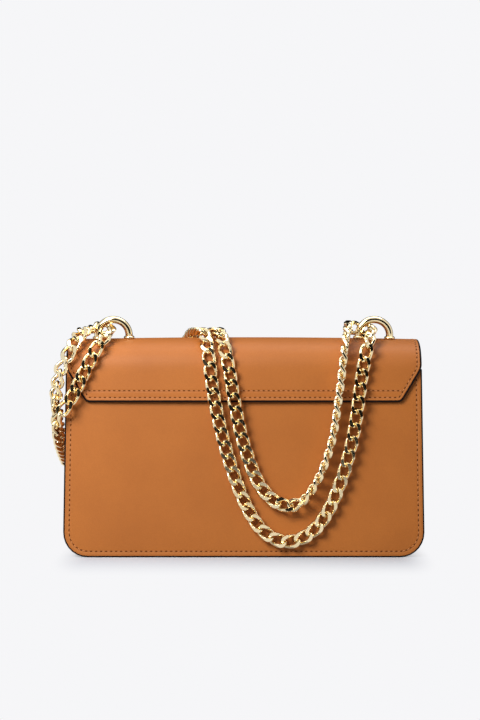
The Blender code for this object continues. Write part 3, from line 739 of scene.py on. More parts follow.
def turned(profile, steps, closed=False):
    """A solid of revolution about Z from (radius, height) points."""
    mesh = bmesh.new()
    verts = [mesh.verts.new((radius, 0, height)) for radius, height in profile]
    pairs = list(zip(verts, verts[1:])) + ([(verts[-1], verts[0])] if closed else [])
    edges = [mesh.edges.new(pair) for pair in pairs]
    bmesh.ops.spin(
        mesh, geom=verts + edges, cent=(0, 0, 0), axis=(0, 0, 1), dvec=(0, 0, 0),
        angle=2 * pi, steps=steps, use_merge=True, use_duplicate=False,
    )
    bmesh.ops.remove_doubles(mesh, verts=mesh.verts, dist=1e-6)
    bmesh.ops.recalc_face_normals(mesh, faces=mesh.faces)
    return mesh


def cut_hide(corners, thickness, ease, seam=0):
    """A flat piece of leather, cut to (x, y, corner offset) with its face up, and its seam's line.

    Its rim is eased and painted, and a sewn seam presses a groove beside it. Its layer of painted
    shade and highlight darkens the groove and lightens the band outside the seam."""
    sizes = bpy.context.scene.bag_sizes
    hide = bmesh.new()
    verts = [hide.verts.new((x, y, 0)) for x, y, _ in corners]
    hide.faces.new(verts)
    for vert, (_, _, offset) in zip(verts, corners):
        if offset:
            bmesh.ops.bevel(
                hide, geom=[vert], offset=offset, affect="VERTICES", segments=7, profile=0.5, material=-1
            )
    made = bmesh.ops.extrude_face_region(hide, geom=hide.faces[:])["geom"]
    sunk = [part for part in made if isinstance(part, bmesh.types.BMVert)]
    bmesh.ops.translate(hide, vec=(0, 0, -thickness), verts=sunk)
    bmesh.ops.holes_fill(hide, edges=[edge for edge in hide.edges if edge.is_boundary])
    bmesh.ops.recalc_face_normals(hide, faces=hide.faces)
    rim = [edge for edge in hide.edges if any(abs(f.normal.z) > 0.9 for f in edge.link_faces)]
    bmesh.ops.bevel(
        hide, geom=rim, offset=ease, affect="EDGES", segments=2, profile=0.5, material=-1
    )
    hide.normal_update()
    painted_shade_and_highlight = hide.verts.layers.float.new("painted_shade_and_highlight")
    for face in hide.faces:
        if abs(face.normal.z) < 0.99:
            face.material_index = 1
            for vert in face.verts:
                vert[painted_shade_and_highlight] = 1
    top = max(hide.faces, key=lambda face: face.calc_center_median().z * 10 + face.calc_area())
    row = []
    if seam:
        width, depth = sizes.seam_puff, sizes.seam_groove
        # Rings inward from the rim, each with its level of painted shade (above 0) and painted highlight (below 0):
        # edge paint onto the face, leather slightly darker next to it, lightened outside the seam, darkened in the
        # groove.
        for inset, rise, shade_and_highlight in (
            (EDGE_OVERLAP, 0, 0.1), (seam - width - ease - EDGE_OVERLAP, 0, -0.14), (width, -depth, 0.05),
            (width, depth, 0), (width / 3, 0, 0),
        ):
            ring = bmesh.ops.inset_region(hide, faces=[top], thickness=inset, use_even_offset=True)["faces"]
            for face in ring:
                face.material_index = int(inset == EDGE_OVERLAP)
            for vert in top.verts:
                vert.co.z += rise
                vert[painted_shade_and_highlight] = shade_and_highlight
            if rise < 0:
                row = [Vector((vert.co.x, vert.co.y, 0)) for vert in top.verts]
    return hide, row


def finish_piece(name, mesh, materials, replaced=(), body=None, sharp=50):
    """Makes the object, at the origin, with its place in its mesh, and has it ride on its body.

    Edges past the sharp angle stay crisp. Without one, the mesh keeps its own shading."""
    if not mesh.faces:
        raise RuntimeError(f"{name} came out empty")
    bmesh.ops.translate(mesh, vec=(0, MIDDLE_SHIFT, 0), verts=mesh.verts)
    data = bpy.data.meshes.new(name)
    mesh.to_mesh(data)
    mesh.free()
    for material in materials:
        data.materials.append(material)
    if sharp:
        data.shade_smooth()
        data.set_sharp_from_angle(angle=radians(sharp))
    made = bpy.data.objects.new(name, data)
    bpy.context.collection.objects.link(made)
    if replaced:
        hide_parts(*replaced)
    if body:
        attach(made, body)
    return made


# Stitches

def row_spot(row, lengths, length):
    """The spot of a row at a length along it."""
    n = min(max(bisect(lengths, length) - 1, 0), len(row) - 2)
    return row[n].lerp(row[n + 1], (length - lengths[n]) / (lengths[n + 1] - lengths[n]))


def sew(row, lay, body):
    """Keeps the places of a row's stitches: X along the row, Z out of the leather."""
    lengths = [0]
    for before, spot in zip(row, row[1:]):
        lengths.append(lengths[-1] + (spot - before).length)
    count = round(lengths[-1] / bpy.context.scene.bag_sizes.stitch_pitch)
    step = lengths[-1] / count
    for n in range(count):
        start, middle, end = (row_spot(row, lengths, (n + m) * step) for m in (0, 0.5, 1))
        along = (lay(end) - lay(start)).normalized()
        out = lay(middle + Vector((0, 0, 0.001))) - lay(middle)
        out = (out - along * out.dot(along)).normalized()
        turn = Matrix((along, out.cross(along), out)).transposed().to_4x4()
        ROWS.append((body, Matrix.Translation(lay(middle)) @ turn, Matrix.Translation(lay(start)) @ turn))


# Chain

def route_samples():
    """Spots, face directions and stretch numbers close together along the closed route."""
    points = [(Vector(spot), face, n) for n, (_, run) in enumerate(ROUTE) for spot, face in run]
    count = len(points)
    samples = []
    for n, (start, face, stretch) in enumerate(points):
        before, end, after = (points[(n + m) % count][0] for m in (-1, 1, 2))
        reach = (end - start).length / 3
        lead = start + (end - before).normalized() * reach
        trail = end - (after - start).normalized() * reach
        run = interpolate_bezier(start, lead, trail, end, ROUTE_STEPS + 1)
        for m, spot in enumerate(run[:-1]):
            samples.append((spot, face.lerp(points[(n + 1) % count][1], m / ROUTE_STEPS), stretch))
    return samples


def sample_at(samples, place):
    """Spot and face direction at a place between two samples."""
    low = int(place)
    spot, face, _ = samples[low % len(samples)]
    next_spot, next_face, _ = samples[(low + 1) % len(samples)]
    return spot.lerp(next_spot, place - low), face.lerp(next_face, place - low)


def walk(samples, place, distance):
    """The place ahead on the route, or behind for a negative one, at a straight distance."""
    step = 1 if distance > 0 else -1
    start = sample_at(samples, place)[0]
    near = 0
    while True:
        far = (sample_at(samples, place + step)[0] - start).length
        if far >= abs(distance):
            return place + step * (abs(distance) - near) / (far - near)
        place, near = place + step, far


def lay_links(samples, count, pitch):
    """Each link's stretch and its two ends on the route, and the place that the last one leads to."""
    place, stretch, links = 0, 0, []
    for _ in range(count):
        end = walk(samples, place, pitch)
        links.append((stretch, place, end))
        ahead = samples[int(end) % len(samples)][2]
        place = end if ahead == stretch else walk(samples, end, -LINK_FREE_STEP)
        stretch = ahead
    return links, place


def fitted_links(samples):
    """The pitch is trimmed by a hair so that a whole number of links closes the loop."""
    length = sum((samples[n][0] - samples[n - 1][0]).length for n in range(len(samples)))
    count = round((length + LINK_FREE_STEP * len(ROUTE)) / CHAIN_PITCH)
    low, high = (length / count * share for share in PITCH_TRIM_SHARES)
    for _ in range(PITCH_TRIALS):
        pitch = (low + high) / 2
        links, place = lay_links(samples, count, pitch)
        if place < len(samples):
            low = pitch
        else:
            high = pitch
    return links


def link_place(samples, start, end):
    """A link's frame: X along the chain and Z out of its flat face."""
    first, last = sample_at(samples, start)[0], sample_at(samples, end)[0]
    along = (last - first).normalized()
    face = sample_at(samples, (start + end) / 2)[1]
    face = (face - along * face.dot(along)).normalized()
    turn = Matrix((along, face.cross(along), face)).transposed().to_4x4()
    return Matrix.Translation((first + last) / 2) @ turn


def curb_link():
    """One link: round wire bent to a twisted oval, then ground flat on both faces."""
    half_length, half_width = LINK_LENGTH / 2, (LINK_WIDTH - WIRE) / 2

    def spot(turn):
        x, y = (
            size * copysign(abs(share) ** (2 / LINK_SQUARENESS), share)
            for size, share in ((half_length, cos(turn)), (half_width, sin(turn)))
        )
        rise = WIRE_RISE * tanh(WIRE_TWIST * sin(2 * turn)) / tanh(WIRE_TWIST)
        return Vector((x, y, LINK_LIFT - rise))

    places = []
    for n in range(LINK_STEPS):
        turn = 2 * pi * (n + 0.5) / LINK_STEPS
        along = (spot(turn + 0.01) - spot(turn - 0.01)).normalized()
        up = (UP - along * UP.dot(along)).normalized()
        turned_up = Matrix((up.cross(along), up, along)).transposed().to_4x4()
        places.append(Matrix.Translation(spot(turn)) @ turned_up @ Matrix.Scale(WIRE / 2, 4))
    link = rod(places, LINK_SIDES, closed=True)
    ground_faces = []
    for side, height in zip((-1, 1), LINK_FACES):
        cut = bmesh.ops.bisect_plane(
            link, geom=everything(link), dist=1e-7, clear_outer=True,
            plane_co=(0, 0, height), plane_no=(0, 0, side),
        )
        rims = [part for part in cut["geom_cut"] if isinstance(part, bmesh.types.BMEdge)]
        ground = bmesh.ops.holes_fill(link, edges=rims)["faces"]
        ground_faces += ground
    bmesh.ops.recalc_face_normals(link, faces=link.faces)
    for face in link.faces:
        face.smooth = face not in ground_faces
    for face in ground_faces:
        for edge in face.edges:
            edge.smooth = False
    made = bpy.data.meshes.new("curb_link")
    link.to_mesh(made)
    link.free()
    return made


def repeated(shape, places):
    """Copies of one mesh at all the places, in one mesh."""
    mesh = bmesh.new()
    for place in places:
        known = len(mesh.verts)
        mesh.from_mesh(shape)
        mesh.verts.ensure_lookup_table()
        bmesh.ops.transform(mesh, matrix=place, verts=mesh.verts[known:])
    return mesh


# Arches

def arch_place(side):
    """Where an arch stands: on the leather's slope, behind the crest."""
    height = dome_height(REAR_STANDOFF, ARCH_SETBACK)
    face = dome_point(REAR_STANDOFF, height)[1]
    x = side * ARCH_OFFSET
    spot = Vector((x, -ARCH_SETBACK, height - crest_drop(x, height)))
    slope = atan(2 * CREST_CROWN * x * (2 / FLAP_WIDTH) ** 2)
    lean = Matrix.Rotation(atan(face[0] / face[1]), 4, "X")
    return Matrix.Translation(spot) @ Matrix.Rotation(slope, 4, "Y") @ lean


def aimed(spot, target):
    """A camera's or a lamp's place, looking at a target."""
    spot = Vector(spot)
    return Matrix.Translation(spot) @ (Vector(target) - spot).to_track_quat("-Z", "Y").to_matrix().to_4x4()


# Settings

def length_property(name, description, default, low, high):
    return FloatProperty(
        name=name, description=description, default=default, min=low, max=high,
        unit="LENGTH", subtype="DISTANCE", precision=5,
    )


def colour_property(name, description, default):
    return FloatVectorProperty(
        name=name, description=description, default=default, size=3, min=0, max=1, subtype="COLOR"
    )


class BagSizes(bpy.types.PropertyGroup):
    """Small sizes of the bag's making, in metres."""

    stitch_pitch: length_property("Stitch pitch", "From one needle hole to the next", 0.0036, 0.002, 0.01)
    stitch_length: length_property("Stitch length", "Thread seen between two holes", 0.0022, 0.001, 0.009)
    thread_width: length_property("Thread", "Width of a laid stitch", 0.0008, 0.0003, 0.002)
    seam_inset: length_property("Seam inset", "Seam line from the panel's edge", 0.0043, 0.002, 0.01)
    flap_seam_inset: length_property("Flap seam inset", "Seam line from the flap's edge", 0.0034, 0.002, 0.01)
    seam_groove: length_property("Seam groove", "How deep a seam presses", 0.00022, 0, 0.001)
    seam_puff: length_property("Seam puff", "Half width of a seam's groove", 0.0009, 0.0003, 0.002)
    edge_ease: length_property("Eased edge", "Rounding of the cut edges", 0.0008, 0.0002, 0.001)
    flap_edge_ease: length_property("Eased flap edge", "Rounding of the flap's cut edges", 0.0011, 0.0002, 0.0012)
    panel_sag: length_property("Panel sag", "How far the panels sink in", 0.0007, 0, 0.001)


class BagColours(bpy.types.PropertyGroup):
    """Colours of the bag's finishes and of the backdrop."""

    leather_light: colour_property("Light leather", "Brighter clouds of the hide", (0.50, 0.152, 0.020))
    leather_dark: colour_property("Dark leather", "Deeper clouds of the hide", (0.44, 0.129, 0.015))
    leather_deep: colour_property("Leather grain", "In the grain's furrows", (0.27, 0.075, 0.008))
    # Painted shade in the seam grooves and in the needle holes, and the brush streaks of the edge paint
    shaded_and_burnt_leather: colour_property("Burnished leather", "Pressed and burnished places", (0.085, 0.026, 0.010))
    # Painted highlight: the lighter leather on the band outside the seams
    leather_rim_highlight: colour_property("Rubbed leather", "Rims outside the seams", (0.62, 0.25, 0.07))
    # Edge paint, darker than the paint itself as painted shade under the cut edges
    edge_paint_and_shade: colour_property("Edge paint", "Sealed cut edges", (0.006, 0.004, 0.004))
    thread: colour_property("Thread", "Waxed sewing thread", (0.56, 0.21, 0.06))
    lining_light: colour_property("Light lining", "Nap brushed up", (0.20, 0.105, 0.060))
    lining_dark: colour_property("Dark lining", "Nap brushed down", (0.115, 0.055, 0.030))
    board: colour_property("Board", "Pressed fibre board", (0.35, 0.33, 0.30))
    gold: colour_property("Gold", "Pale gold plating", (0.91, 0.78, 0.52))
    gold_warm: colour_property("Warm gold", "Where the plating is richer", (0.86, 0.65, 0.30))
    steel: colour_property("Steel", "Zinc-plated steel", (0.62, 0.62, 0.63))
    backdrop: colour_property("Backdrop", "Background behind the bag", (0.922, 0.922, 0.938))


# Operators

class BagStep(bpy.types.Operator):
    """One step of the bag's making."""

    bl_options = {"REGISTER", "UNDO"}

    def execute(self, context):
        self.make(context.scene.bag_sizes, context.scene.bag_colours)
        return {"FINISHED"}


class MakeStage(BagStep):
    """Camera, floor, backdrop and lamps"""

    bl_idname = "bag.make_stage"
    bl_label = "Stage"

    def make(self, sizes, colours):
        scene = bpy.context.scene
        scene.view_settings.view_transform = "Standard"
        lens = bpy.data.cameras.new("photo_camera")
        lens.sensor_fit = "VERTICAL"
        lens.sensor_height = SENSOR_HEIGHT
        lens.lens = SENSOR_HEIGHT * CAMERA_DISTANCE / VIEW_HEIGHT
        camera = bpy.data.objects.new("photo_camera", lens)
        scene.collection.objects.link(camera)
        spot = (CAMERA_X, MIDDLE_SHIFT - REAR_REACH - CAMERA_DISTANCE, CAMERA_HEIGHT)
        camera.matrix_world = aimed(spot, (CAMERA_X, 0, CAMERA_HEIGHT))
        scene.camera = camera
        self.lay_floor(colours)
        for card in CARDS:
            self.hang_card(*card)
        self.light_world(colours)
        for name, spot, size, power in LAMPS:
            lamp = bpy.data.lights.new(name, "AREA")
            lamp.shape = "RECTANGLE"
            lamp.size, lamp.size_y = size
            lamp.energy = power
            held = bpy.data.objects.new(name, lamp)
            scene.collection.objects.link(held)
            held.matrix_world = aimed(spot, LAMP_TARGET)
            held.visible_camera = False
            held.visible_glossy = name == "key_lamp"

        gleam_spot, gleam_size, gleam_power = GLEAM
        gleam = bpy.data.lights.new("gleam_lamp", "AREA")
        gleam.shape = "RECTANGLE"
        gleam.size, gleam.size_y = gleam_size
        gleam.energy = gleam_power
        held = bpy.data.objects.new("gleam_lamp", gleam)
        scene.collection.objects.link(held)
        held.matrix_world = Matrix.Translation(gleam_spot)
        held.visible_camera = False
        held.visible_diffuse = False

    def lay_floor(self, colours):
        """A white floor that keeps the bag's shadow and fades into the backdrop."""
        mesh = bmesh.new()
        bmesh.ops.create_grid(mesh, x_segments=4, y_segments=4, size=FLOOR_REACH)
        data = bpy.data.meshes.new("floor")
        mesh.to_mesh(data)
        mesh.free()
        floor = bpy.data.objects.new("floor", data)
        bpy.context.collection.objects.link(floor)
        paper = Finish(bpy.data.materials.new("white_paper"))
        place = paper.node("TexCoord", output="Object")
        apart = paper.node("VectorMath", {"operation": "ABSOLUTE"}, {0: place})
        apart = paper.node("VectorMath", {"operation": "SUBTRACT"}, {0: apart, 1: BAG_FOOT})
        apart = paper.node("VectorMath", {"operation": "MAXIMUM"}, {0: apart, 1: (0, 0, 0)})
        apart = paper.node("VectorMath", {"operation": "MULTIPLY"}, {0: apart, 1: SHADOW_SIDE})
        away = paper.node("VectorMath", {"operation": "LENGTH"}, {0: apart}, "Value")
        far = paper.node(
            "MapRange", {"interpolation_type": "SMOOTHSTEP"},
            {"Value": away, "From Min": SHADOW_REACH[0], "From Max": SHADOW_REACH[1]},
        )
        seen = paper.node("LightPath", output="Is Camera Ray")
        rays = seen + paper.node("LightPath", output="Is Glossy Ray")
        rays = rays + paper.node("LightPath", output="Is Transmission Ray")
        glow = paper.node("Emission", None, {"Color": colours.backdrop, "Strength": 1})
        tone = paper.mix(seen, (0.25, 0.25, 0.25), (0.55, 0.59, 0.66))
        paper.paint(Base_Color=tone, Roughness=0.9, Specular_IOR_Level=0.1)
        shown = paper.node("MixShader", None, {0: far * rays, 2: glow})
        paper.tree.links.new(paper.shader.outputs[0], shown.socket.node.inputs[1])
        paper.tree.links.new(shown.socket, paper.tree.nodes["Material Output"].inputs["Surface"])
        data.materials.append(paper.owner)

    def hang_card(self, name, depth, width, height):
        """A dark card that only reflections show, for the metal's contrast."""
        mesh = bmesh.new()
        bmesh.ops.create_grid(mesh, x_segments=2, y_segments=2, size=0.5)
        bmesh.ops.scale(mesh, vec=(width, height, 1), verts=mesh.verts)
        bmesh.ops.rotate(mesh, cent=(0, 0, 0), matrix=Matrix.Rotation(pi / 2, 3, "X"), verts=mesh.verts)
        bmesh.ops.translate(mesh, vec=(0, depth, height / 2), verts=mesh.verts)
        data = bpy.data.meshes.new(name)
        mesh.to_mesh(data)
        mesh.free()
        card = bpy.data.objects.new(name, data)
        bpy.context.collection.objects.link(card)
        black = Finish(bpy.data.materials.new(name))
        black.paint(Base_Color=(0.012, 0.011, 0.010), Roughness=1.0, Specular_IOR_Level=0.0)
        data.materials.append(black.owner)
        card.visible_camera = False
        card.visible_diffuse = False
        card.visible_shadow = False
        card.visible_transmission = False

    def light_world(self, colours):
        """The backdrop's colour for the camera and the metal, and a soft even light for the rest."""
        world = bpy.data.worlds.new("studio")
        bpy.context.scene.world = world
        air = Finish(world)
        rays = air.node("LightPath", output="Is Camera Ray") + air.node("LightPath", output="Is Glossy Ray")
        rays = rays + air.node("LightPath", output="Is Transmission Ray")
        shown = air.tree.nodes["Background"]
        feed(air.tree, shown.inputs["Color"], air.mix(rays, (AMBIENT, AMBIENT, AMBIENT), colours.backdrop))


class MakeChain(BagStep):
    """The curb chain, in the four runs that its moving parts need"""

    bl_idname = "bag.make_chain"
    bl_label = "Chain"

    def make(self, sizes, colours):
        samples = route_samples()
        links = fitted_links(samples)
        shape = curb_link()
        numbers = {name: n for n, (name, _) in enumerate(ROUTE)}
        shift = Vector((0, MIDDLE_SHIFT, 0))
        for name, stretches, blend in CHAIN_RUNS:
            run = [link for stretch in stretches for link in links if link[0] == numbers[stretch]]
            mesh = repeated(shape, [link_place(samples, start, end) for _, start, end in run])
            first, last = run[0][1], run[-1][2]
            last += len(samples) if last < first else 0
            inner = range(int(first) + 1, int(last) + 1)
            path = [sample_at(samples, place)[0] + shift for place in (first, *inner, last)]
            length = sum((after - before).length for before, after in zip(path, path[1:]))
            body = None if blend else "bag"
            chain = finish_piece(name, mesh, [gold()], stretches, body, sharp=None)
            if blend:
                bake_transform(chain, "bag", "flap", start=blend[0], end=blend[1])
        bpy.data.meshes.remove(shape)


class MakePanels(BagStep):
    """Back and front panels with painted edges and pressed seams"""

    bl_idname = "bag.make_panels"
    bl_label = "Panels"

    def make(self, sizes, colours):
        half, top_half = PANEL_WIDTH / 2, PANEL_TOP_WIDTH / 2
        corners = (
            (-top_half, PANEL_HEIGHT, 0), (-half, 0, PANEL_CORNER),
            (half, 0, PANEL_CORNER), (top_half, PANEL_HEIGHT, 0),
        )
        for name, side in (("back", -1), ("front", 1)):
            hide, row = cut_hide(corners, PANEL_LEATHER, sizes.edge_ease, sizes.seam_inset)
            cut_across(hide, steps_between(-half + 0.012, half - 0.012, 0.016), Vector((1, 0, 0)))
            cut_across(hide, steps_between(0.012, PANEL_HEIGHT - 0.012, 0.014), Vector((0, 1, 0)))

            def sagged(flat):
                x, z, rise = flat
                inner = smooth_step(half - abs(x), 0.008, 0.05) * smooth_step(z, 0.008, 0.04)
                wave = 0.7 + 0.3 * sin(31 * x + side) * cos(23 * z)
                return panel_spot(side, (x, z, rise - sizes.panel_sag * inner * wave))

            move_all(hide, sagged)
            bmesh.ops.recalc_face_normals(hide, faces=hide.faces)
            finish_piece(
                f"leather_{name}_panel", hide, [leather(), edge_paint_and_shade()],
                [f"{name}_panel"], "bag",
            )
            sew(self.opened(row), lambda flat: panel_spot(side, flat), "bag")

    def opened(self, row):
        """The seam without its stretch along the top edge, from the left end."""
        top = max(spot.y for spot in row)
        ends = [n for n, spot in enumerate(row) if spot.y > top - 0.001]
        left = min(ends, key=lambda n: row[n].x)
        turned_row = row[left:] + row[:left]
        if turned_row[1].x > 0:
            turned_row = [turned_row[0]] + turned_row[:0:-1]
        return turned_row


class MakeGusset(BagStep):
    """The channel of leather round the sides and the bottom"""

    bl_idname = "bag.make_gusset"
    bl_label = "Gusset"

    def make(self, sizes, colours):
        depth = wall_depth(0) - PANEL_LEATHER - SEAT_GAP
        thick, fold = GUSSET_LEATHER, GUSSET_FOLD
        half = [
            (GUSSET_FLANGE, depth - thick), (fold * 2, depth - thick), (fold / 2, depth - thick - fold / 2),
            (0, depth - thick - fold * 2),
        ]
        inner_half = [
            (-thick, depth - fold * 3), (-thick + fold / 2, depth - fold), (fold / 2, depth - fold / 5),
            (fold * 2, depth), (GUSSET_FLANGE, depth),
        ]
        web = [(0, depth * share) for share in (0.7, 0.35, 0)]
        inner_web = [(-thick, depth * share) for share in (0, 0.35, 0.7)]
        right = half + web + [(out, -y) for out, y in reversed(half + web[:2])]
        left = [(out, -y) for out, y in reversed(inner_half + inner_web[1:][::-1][::-1])]
        section = right + [(out, -y) for out, y in reversed(inner_half)]
        section += [(out, -y) for out, y in reversed(inner_web[1:])] + inner_web + inner_half
        mesh = bmesh.new()
        verts = [mesh.verts.new((out, y, 0)) for out, y in section]
        for pair in zip(verts, verts[1:] + verts[:1]):
            mesh.edges.new(pair)
        sweep(mesh, verts, self.places())

        def squeezed(spot):
            share = (wall_depth(spot.z) - PANEL_LEATHER - SEAT_GAP) / depth
            placed = Vector((spot.x, spot.y * share, spot.z))
            if abs(placed.x) < side_reach(placed.z) - SEAM_MARGIN + 0.0006:
                wall_sag(placed)
            return placed

        move_all(mesh, squeezed)
        for face in mesh.faces:
            if all(abs(abs(v.co.x) - side_reach(v.co.z)) < 0.0018 or v.co.z < 0.0018 for v in face.verts):
                face.material_index = 1
        finish_piece("leather_gusset", mesh, [leather(), edge_paint_and_shade()], ["gusset"], "bag")

    def places(self):
        """Frames down the left side, round the corners, along the bottom and up the right side."""
        top = PANEL_HEIGHT - GUSSET_DROP
        radius = PANEL_CORNER - SEAM_MARGIN
        centre = side_reach(SEAM_MARGIN + radius) - SEAM_MARGIN - radius
        right = [(x, SEAM_MARGIN, 0) for x in (0, centre / 3, centre * 2 / 3)]
        for n in range(9):
            angle = pi / 2 * n / 8
            right.append((centre + radius * sin(angle), SEAM_MARGIN + radius * (1 - cos(angle)), angle))
        for z in steps_between(SEAM_MARGIN + radius, top, 0.011) + [top]:
            right.append((side_reach(z) - SEAM_MARGIN, z, pi / 2))
        places = []
        for side, run in ((-1, right[:0:-1]), (1, right)):
            for x, z, angle in run:
                out = Vector((side * sin(angle), 0, -cos(angle)))
                frame = Matrix((out, FRONT, out.cross(FRONT))).transposed().to_4x4()
                places.append(Matrix.Translation((side * x, 0, z)) @ frame)
        return places


class MakeLining(BagStep):
    """The open pouch inside, and its slip pocket"""

    bl_idname = "bag.make_lining"
    bl_label = "Lining"

    def make(self, sizes, colours):
        inset = SEAM_MARGIN + GUSSET_LEATHER + SEAT_GAP
        top = PANEL_HEIGHT - LINING_DROP
        corner = PANEL_CORNER - inset
        pouch = bmesh.new()
        low, high = side_reach(LINING_FLOOR) - inset, side_reach(top) - inset
        verts = [
            pouch.verts.new(spot)
            for spot in ((-high, -1, top), (-low, -1, LINING_FLOOR), (low, -1, LINING_FLOOR), (high, -1, top))
        ]
        pouch.faces.new(verts)
        for vert in verts[1:3]:
            bmesh.ops.bevel(
                pouch, geom=[vert], offset=corner, affect="VERTICES", segments=7, profile=0.5, material=-1
            )
        made = bmesh.ops.extrude_face_region(pouch, geom=pouch.faces[:])["geom"]
        moved = [part for part in made if isinstance(part, bmesh.types.BMVert)]
        bmesh.ops.translate(pouch, vec=(0, 2, 0), verts=moved)
        bmesh.ops.holes_fill(pouch, edges=[edge for edge in pouch.edges if edge.is_boundary])
        bmesh.ops.recalc_face_normals(pouch, faces=pouch.faces)
        lid = [face for face in pouch.faces if face.calc_center_median().z > top - 1e-5]
        bmesh.ops.delete(pouch, geom=lid, context="FACES_ONLY")
        cut_across(pouch, steps_between(-low, low, 0.02), RIGHT)
        cut_across(pouch, steps_between(-1, 1, 0.25), FRONT)
        cut_across(pouch, steps_between(LINING_FLOOR, top, 0.012), UP)

        def fitted(spot):
            placed = Vector((spot.x, spot.y * self.depth(spot.z), spot.z))
            wall_sag(placed)
            return placed

        move_all(pouch, fitted)
        pouch.normal_update()
        bmesh.ops.solidify(pouch, geom=pouch.faces[:], thickness=LINING_LEATHER)
        bmesh.ops.recalc_face_normals(pouch, faces=pouch.faces)
        finish_piece("brushed_lining", pouch, [suede()], ["lining"], "bag")
        half = POCKET_WIDTH / 2
        corners = (
            (-half, POCKET_TOP, 0), (-half, POCKET_BOTTOM, 0.004), (half, POCKET_BOTTOM, 0.004), (half, POCKET_TOP, 0),
        )
        patch, row = cut_hide(corners, LINING_LEATHER, 0.0003, 0.003)
        wall = LINING_LEATHER + SEAT_GAP
        cut_across(patch, steps_between(POCKET_BOTTOM, POCKET_TOP, 0.015), FRONT)

        def on_wall(flat):
            x, z, rise = flat
            return Vector((x, wall + LINING_LEATHER + rise - self.depth(z), z))

        move_all(patch, on_wall)
        bmesh.ops.recalc_face_normals(patch, faces=patch.faces)
        finish_piece("brushed_pocket", patch, [suede(), suede()], ["slip_pocket"], "bag")
        sew(MakePanels.opened(self, row), on_wall, "bag")

    def depth(self, z):
        return wall_depth(z) - PANEL_LEATHER - LINING_SPACE


def flap_corners(tip, side, start, end):
    """The flap's pattern: (x, length, corner offset), with cut corners at the ends that have them."""
    slant = atan(FLAP_CUT_HEIGHT / (side - tip))
    tip_offset = FLAP_TIP_RADIUS * tan(slant / 2)
    side_offset = FLAP_SIDE_RADIUS * tan((pi / 2 - slant) / 2)
    cut = [(tip, end, tip_offset), (side, end - FLAP_CUT_HEIGHT, side_offset)]
    if start:
        far = [(side, start, 0)]
    else:
        far = [(side, FLAP_CUT_HEIGHT, side_offset), (tip, 0, tip_offset)]
    right = cut + far
    return [(-x, y, offset) for x, y, offset in right[::-1]] + right


class MakeFlap(BagStep):
    """The flap, in one piece of leather from the rear strip over the crest, and its lining"""

    bl_idname = "bag.make_flap"
    bl_label = "Flap"

    def make(self, sizes, colours):
        tip, side = FLAP_TIP_WIDTH / 2, FLAP_WIDTH / 2
        hide, row = cut_hide(
            flap_corners(tip, side, 0, FLAP_END), FLAP_LEATHER, sizes.flap_edge_ease, sizes.flap_seam_inset
        )
        self.bend(hide, 0, FLAP_LEATHER)
        flap = finish_piece(
            "leather_flap", hide, [leather(), edge_paint_and_shade()], ["flap_rear", "flap_front"]
        )
        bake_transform(flap, "bag", "flap", start=HINGE_START, end=HINGE_END)
        sew(row + row[:1], flap_spot, "flap")
        second = [Vector((x, SECOND_ROW, 0)) for x in (-tip - 0.001, tip + 0.001)]
        sew(second, flap_spot, "flap")
        start = FLAP_CREST + SEAT_GAP
        cloth, _ = cut_hide(flap_corners(tip, side, start, FLAP_END), LINING_LEATHER, 0.0003)
        self.bend(cloth, FLAP_LEATHER + SEAT_GAP, LINING_LEATHER)
        lining = finish_piece("brushed_flap_lining", cloth, [suede(), edge_paint_and_shade()], ["flap_lining"])
        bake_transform(lining, "bag", "flap", start=HINGE_START, end=HINGE_END)

    def bend(self, hide, below, thickness):
        cut_across(hide, steps_between(-FLAP_WIDTH / 2, FLAP_WIDTH / 2, 0.014), RIGHT)
        cut_across(hide, steps_between(0, FLAP_END, FLAP_ROW_STEP), FRONT)
        if not below:
            cut_across(hide, [SECOND_ROW - 0.0008, SECOND_ROW, SECOND_ROW + 0.0008], FRONT)
        painted_shade_and_highlight = hide.verts.layers.float["painted_shade_and_highlight"]
        groove = bpy.context.scene.bag_sizes.seam_groove
        for vert in hide.verts:
            inside = abs(vert.co.x) < FLAP_TIP_WIDTH / 2
            # The second row's groove is sunk, and its leather gets painted shade
            if not below and inside and vert.co.z > -1e-5 and abs(vert.co.y - SECOND_ROW) < 1e-5:
                vert.co.z -= groove
                vert[painted_shade_and_highlight] = 0.3
        move_all(hide, lambda flat: flap_spot((flat.x, flat.y, flat.z - below)))
        bmesh.ops.recalc_face_normals(hide, faces=hide.faces)


